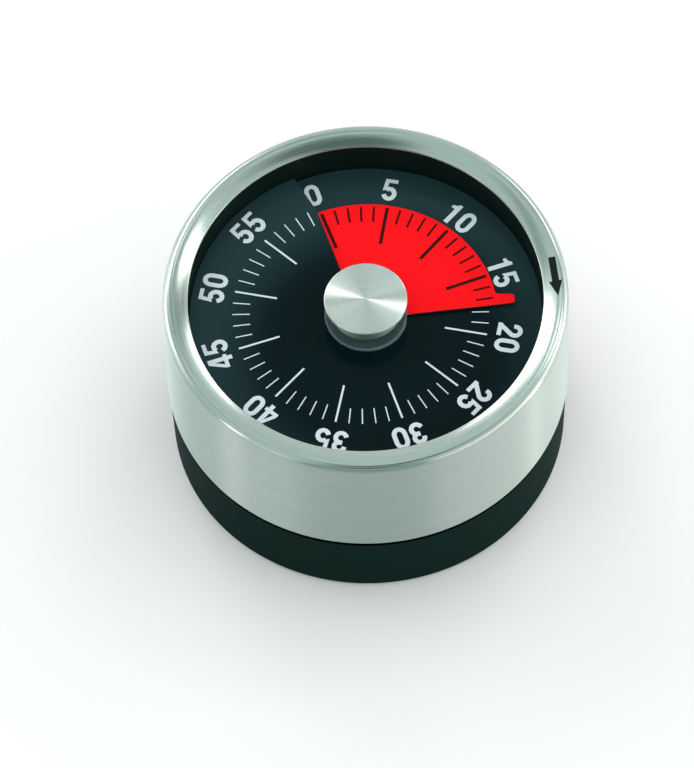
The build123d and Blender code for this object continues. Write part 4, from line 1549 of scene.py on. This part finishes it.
@dataclass
class Studio:
    """Plain pale floor, soft light and the photograph's camera."""

    target: float = 0.020
    distance: float = 1.5
    focal_px: float = 7747.79
    frame_height_px: float = 768
    target_px: Point = (20.509, -20.763)
    elevation: float = 59.311
    roll: float = -1.9865
    sensor: float = 36.0
    floor_size: float = 6.0
    horizon: Sequence[tuple[float, str]] = (
        (-180, "8F9794"), (-164, "8F9794"), (-128, "A6AAA8"), (-119, "61756D"), (-67, "61756D"),
        (-59, "B5B2B0"), (-45, "C3BFBC"), (-22, "D7D3D0"), (0, "E0DDDA"), (19, "FBF8F6"), (38, "BFC0C0"),
        (50, "9C9F9E"), (114, "9C9F9E"), (130, "AEB0AF"), (150, "FFFFFF"), (158, "FFFFFF"), (165, "CBCDCC"),
        (175, "A6AAA8"), (180, "8F9794"),
    )
    overhead: str = "909B98"
    overhead_from: Point = (0.5, 0.75)
    patches: Sequence[SkyPatch] = (
        SkyPatch("6B7872", (-0.34, 0.38), (0.18, 0.07), -16.0),
        SkyPatch("606B66", (0.28, 0.51), (0.2, 0.07), 0.0),
        SkyPatch("3F4E49", (0.05, 0.04), (0.18, 0.25), -25.0),
        SkyPatch("323F3A", (0.0, -0.5), (0.3, 0.16), 0.0),
    )
    sky_power: float = 2.5
    lamps: Sequence[Lamp] = (
        Lamp("back_left_box", 212.6, 45.4, 0.9, (0.33, 0.12), 0.5),
        Lamp("back_left_strip", 195.4, 55.2, 0.9, (0.11, 0.026), 0.028),
        Lamp("back_left_low_box", 202.5, 38, 0.9, (0.2, 0.28), 0.48),
        Lamp("back_right_box", 136, 58, 0.9, (0.31, 0.09), 0.41, spin=-21),
        Lamp("back_right_low_box", 151, 39, 0.9, (0.2, 0.22), 0.46),
        Lamp("right_strip", 79, 14, 1.0, (0.5, 0.12), 0.45),
        Lamp("left_strip", 297, 16, 1.0, (0.5, 0.14), 0.4),
        Lamp("fill", 0, 90, 1.2, (1.2, 1.2), 4.0, kind=LampKind.FILL, colour="FFFFFF"),
    )

    def build_floor(self) -> None:
        """Lays the floor, which the timer stands on."""
        half = self.floor_size / 2
        mesh = bpy.data.meshes.new("floor")
        corners = [(-half, -half, 0), (half, -half, 0), (half, half, 0), (-half, half, 0)]
        mesh.from_pydata(corners, [], [(0, 1, 2, 3)])
        link_mesh("floor", mesh, [FLOOR_LACQUER])

    def build_sky(self) -> None:
        """Sets the sky: a ring of tones round the horizon, a grey overhead and the darker patches in it."""
        scene = bpy.context.scene
        scene.world = bpy.data.worlds.new("studio")
        scene.world.use_nodes = True
        scene.view_settings.view_transform = "Standard"
        tree = scene.world.node_tree
        toward = add_node(tree, "ShaderNodeTexCoord").outputs["Generated"]
        split = add_node(tree, "ShaderNodeSeparateXYZ", {0: toward}).outputs
        azimuth = math_out(tree, "ARCTAN2", split["Y"], split["X"])
        around = {"Value": azimuth, "From Min": -math.pi, "From Max": math.pi}
        share = add_node(tree, "ShaderNodeMapRange", around)
        ramp = add_node(tree, "ShaderNodeValToRGB", {"Fac": share.outputs[0]})
        stops = ramp.color_ramp.elements
        stops.remove(stops[1])
        for index, (angle, colour) in enumerate(self.horizon):
            stop = stops.new((angle + 180) / 360) if index else stops[0]
            stop.color = linear(colour)
        up = smooth_share(tree, split["Z"], *self.overhead_from)
        shown = mixed_colour(tree, up, ramp.outputs[0], linear(self.overhead))
        flat = in_plan(tree, toward)
        for patch in self.patches:
            frame = {
                "Vector": flat,
                "Location": (*patch.middle, 0),
                "Rotation": (0, 0, math.radians(patch.lean)),
                "Scale": (*patch.reach, 1),
            }
            off = add_node(tree, "ShaderNodeMapping", frame, vector_type="TEXTURE").outputs[0]
            far = vector_out(tree, "LENGTH", off, out="Value")
            shown = mixed_colour(tree, smooth_share(tree, far, *patch.edge), linear(patch.colour), shown)
        sky = tree.nodes["Background"]
        tree.links.new(shown, sky.inputs["Color"])
        sky.inputs["Strength"].default_value = self.sky_power

    def hang_lamps(self) -> None:
        """Hangs the lamps round the timer, each turned to it."""
        for lamp in self.lamps:
            is_box = lamp.kind is LampKind.BOX
            light = bpy.data.lights.new(lamp.name, "AREA")
            light.shape = "RECTANGLE"
            light.size, light.size_y = lamp.size
            light.use_shadow = is_box
            light.energy = lamp.power
            light.color = linear(lamp.colour)[:3]
            hung = bpy.data.objects.new(lamp.name, light)
            a, e = math.radians(lamp.azimuth), math.radians(lamp.elevation)
            toward = Vector((math.sin(a) * math.cos(e), -math.cos(a) * math.cos(e), math.sin(e)))
            across = toward.cross(Vector((0, 1, 0))).normalized() * -1
            across.rotate(Matrix.Rotation(math.radians(lamp.spin), 3, toward))
            turn = Matrix((across, toward.cross(across), toward)).transposed().to_4x4()
            hung.matrix_world = Matrix.Translation(toward * lamp.distance) @ turn
            hung.visible_glossy = is_box
            bpy.context.scene.collection.objects.link(hung)

    def build_camera(self) -> None:
        """Sets the camera where the photograph was taken from."""
        e, roll = math.radians(self.elevation), math.radians(self.roll)
        back = Vector((0, -math.cos(e), math.sin(e)))
        level, tilted = Vector((1, 0, 0)), back.cross(Vector((1, 0, 0)))
        right = level * math.cos(roll) + tilted * math.sin(roll)
        up = tilted * math.cos(roll) - level * math.sin(roll)
        aside, down = (offset / self.focal_px for offset in self.target_px)
        place = Vector((0, 0, self.target)) - (right * aside - up * down - back) * self.distance
        lens = bpy.data.cameras.new("photograph")
        lens.sensor_fit = "VERTICAL"
        lens.sensor_height = self.sensor
        lens.lens = self.focal_px / self.frame_height_px * self.sensor
        camera = bpy.data.objects.new("photograph", lens)
        turn = Matrix((right, up, back)).transposed().to_4x4()
        camera.matrix_world = Matrix.Translation(place) @ turn
        bpy.context.scene.collection.objects.link(camera)
        bpy.context.scene.camera = camera

    def build(self) -> None:
        """Builds the floor, the light and the camera."""
        self.build_floor()
        self.build_sky()
        self.hang_lamps()
        self.build_camera()


def main() -> None:
    """Builds the timer's looks round its frame, in order."""
    logging.basicConfig(level=logging.INFO, format="%(name)s: %(message)s")
    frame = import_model()
    case_low, case_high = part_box("steel_case")
    base_low, base_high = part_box("base_shell")
    liner_low, liner_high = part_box("liner")
    ring_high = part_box("foot_ring")[1]
    knob_low, knob_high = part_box("knob")
    hub_low, hub_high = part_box("disc_hub")

    dial_climb = Climb(DIAL_ZERO)
    red_climb = Climb(DIAL_ZERO + RED_LIFT)
    marks = TickTree()
    dial = Dial(dial_climb, marks)
    bosses = [(BOSS_CIRCLE, angle) for angle in BOSS_ANGLES]
    posts = [((POST_CIRCLE, angle), POST_RADIUS, POST_TOP) for angle in POST_ANGLES]
    posts += [(boss, BOSS_RADIUS, BASE_TOP) for boss in bosses]
    posts += [((0.0, 0.0), BELL_POST_RADIUS, BELL_POST_TOP)]
    assemblies = [
        Drum(case_high.x, case_low.z, case_high.z),
        Stand(base_high.x, base_low.z, base_high.z, ring_high.z, ring_high.x, posts=posts),
        Recess(dial_climb, liner_high.x, liner_high.z + BEVEL_DROP, liner_low.z, columns=bosses),
        dial,
        RedDisc(red_climb, marks, dial),
        Winder(knob_high.x, knob_high.z, knob_low.z, hub_high.x, hub_low.z, hub_high.z),
    ]
    hidden: set[str] = set()
    for assembly in assemblies:
        for piece in assembly.pieces():
            piece.settle()
            hidden.update(piece.nodes)
    Movement().dress(frame, hidden)
    Studio().build()


if __name__ == "__main__":
    main()
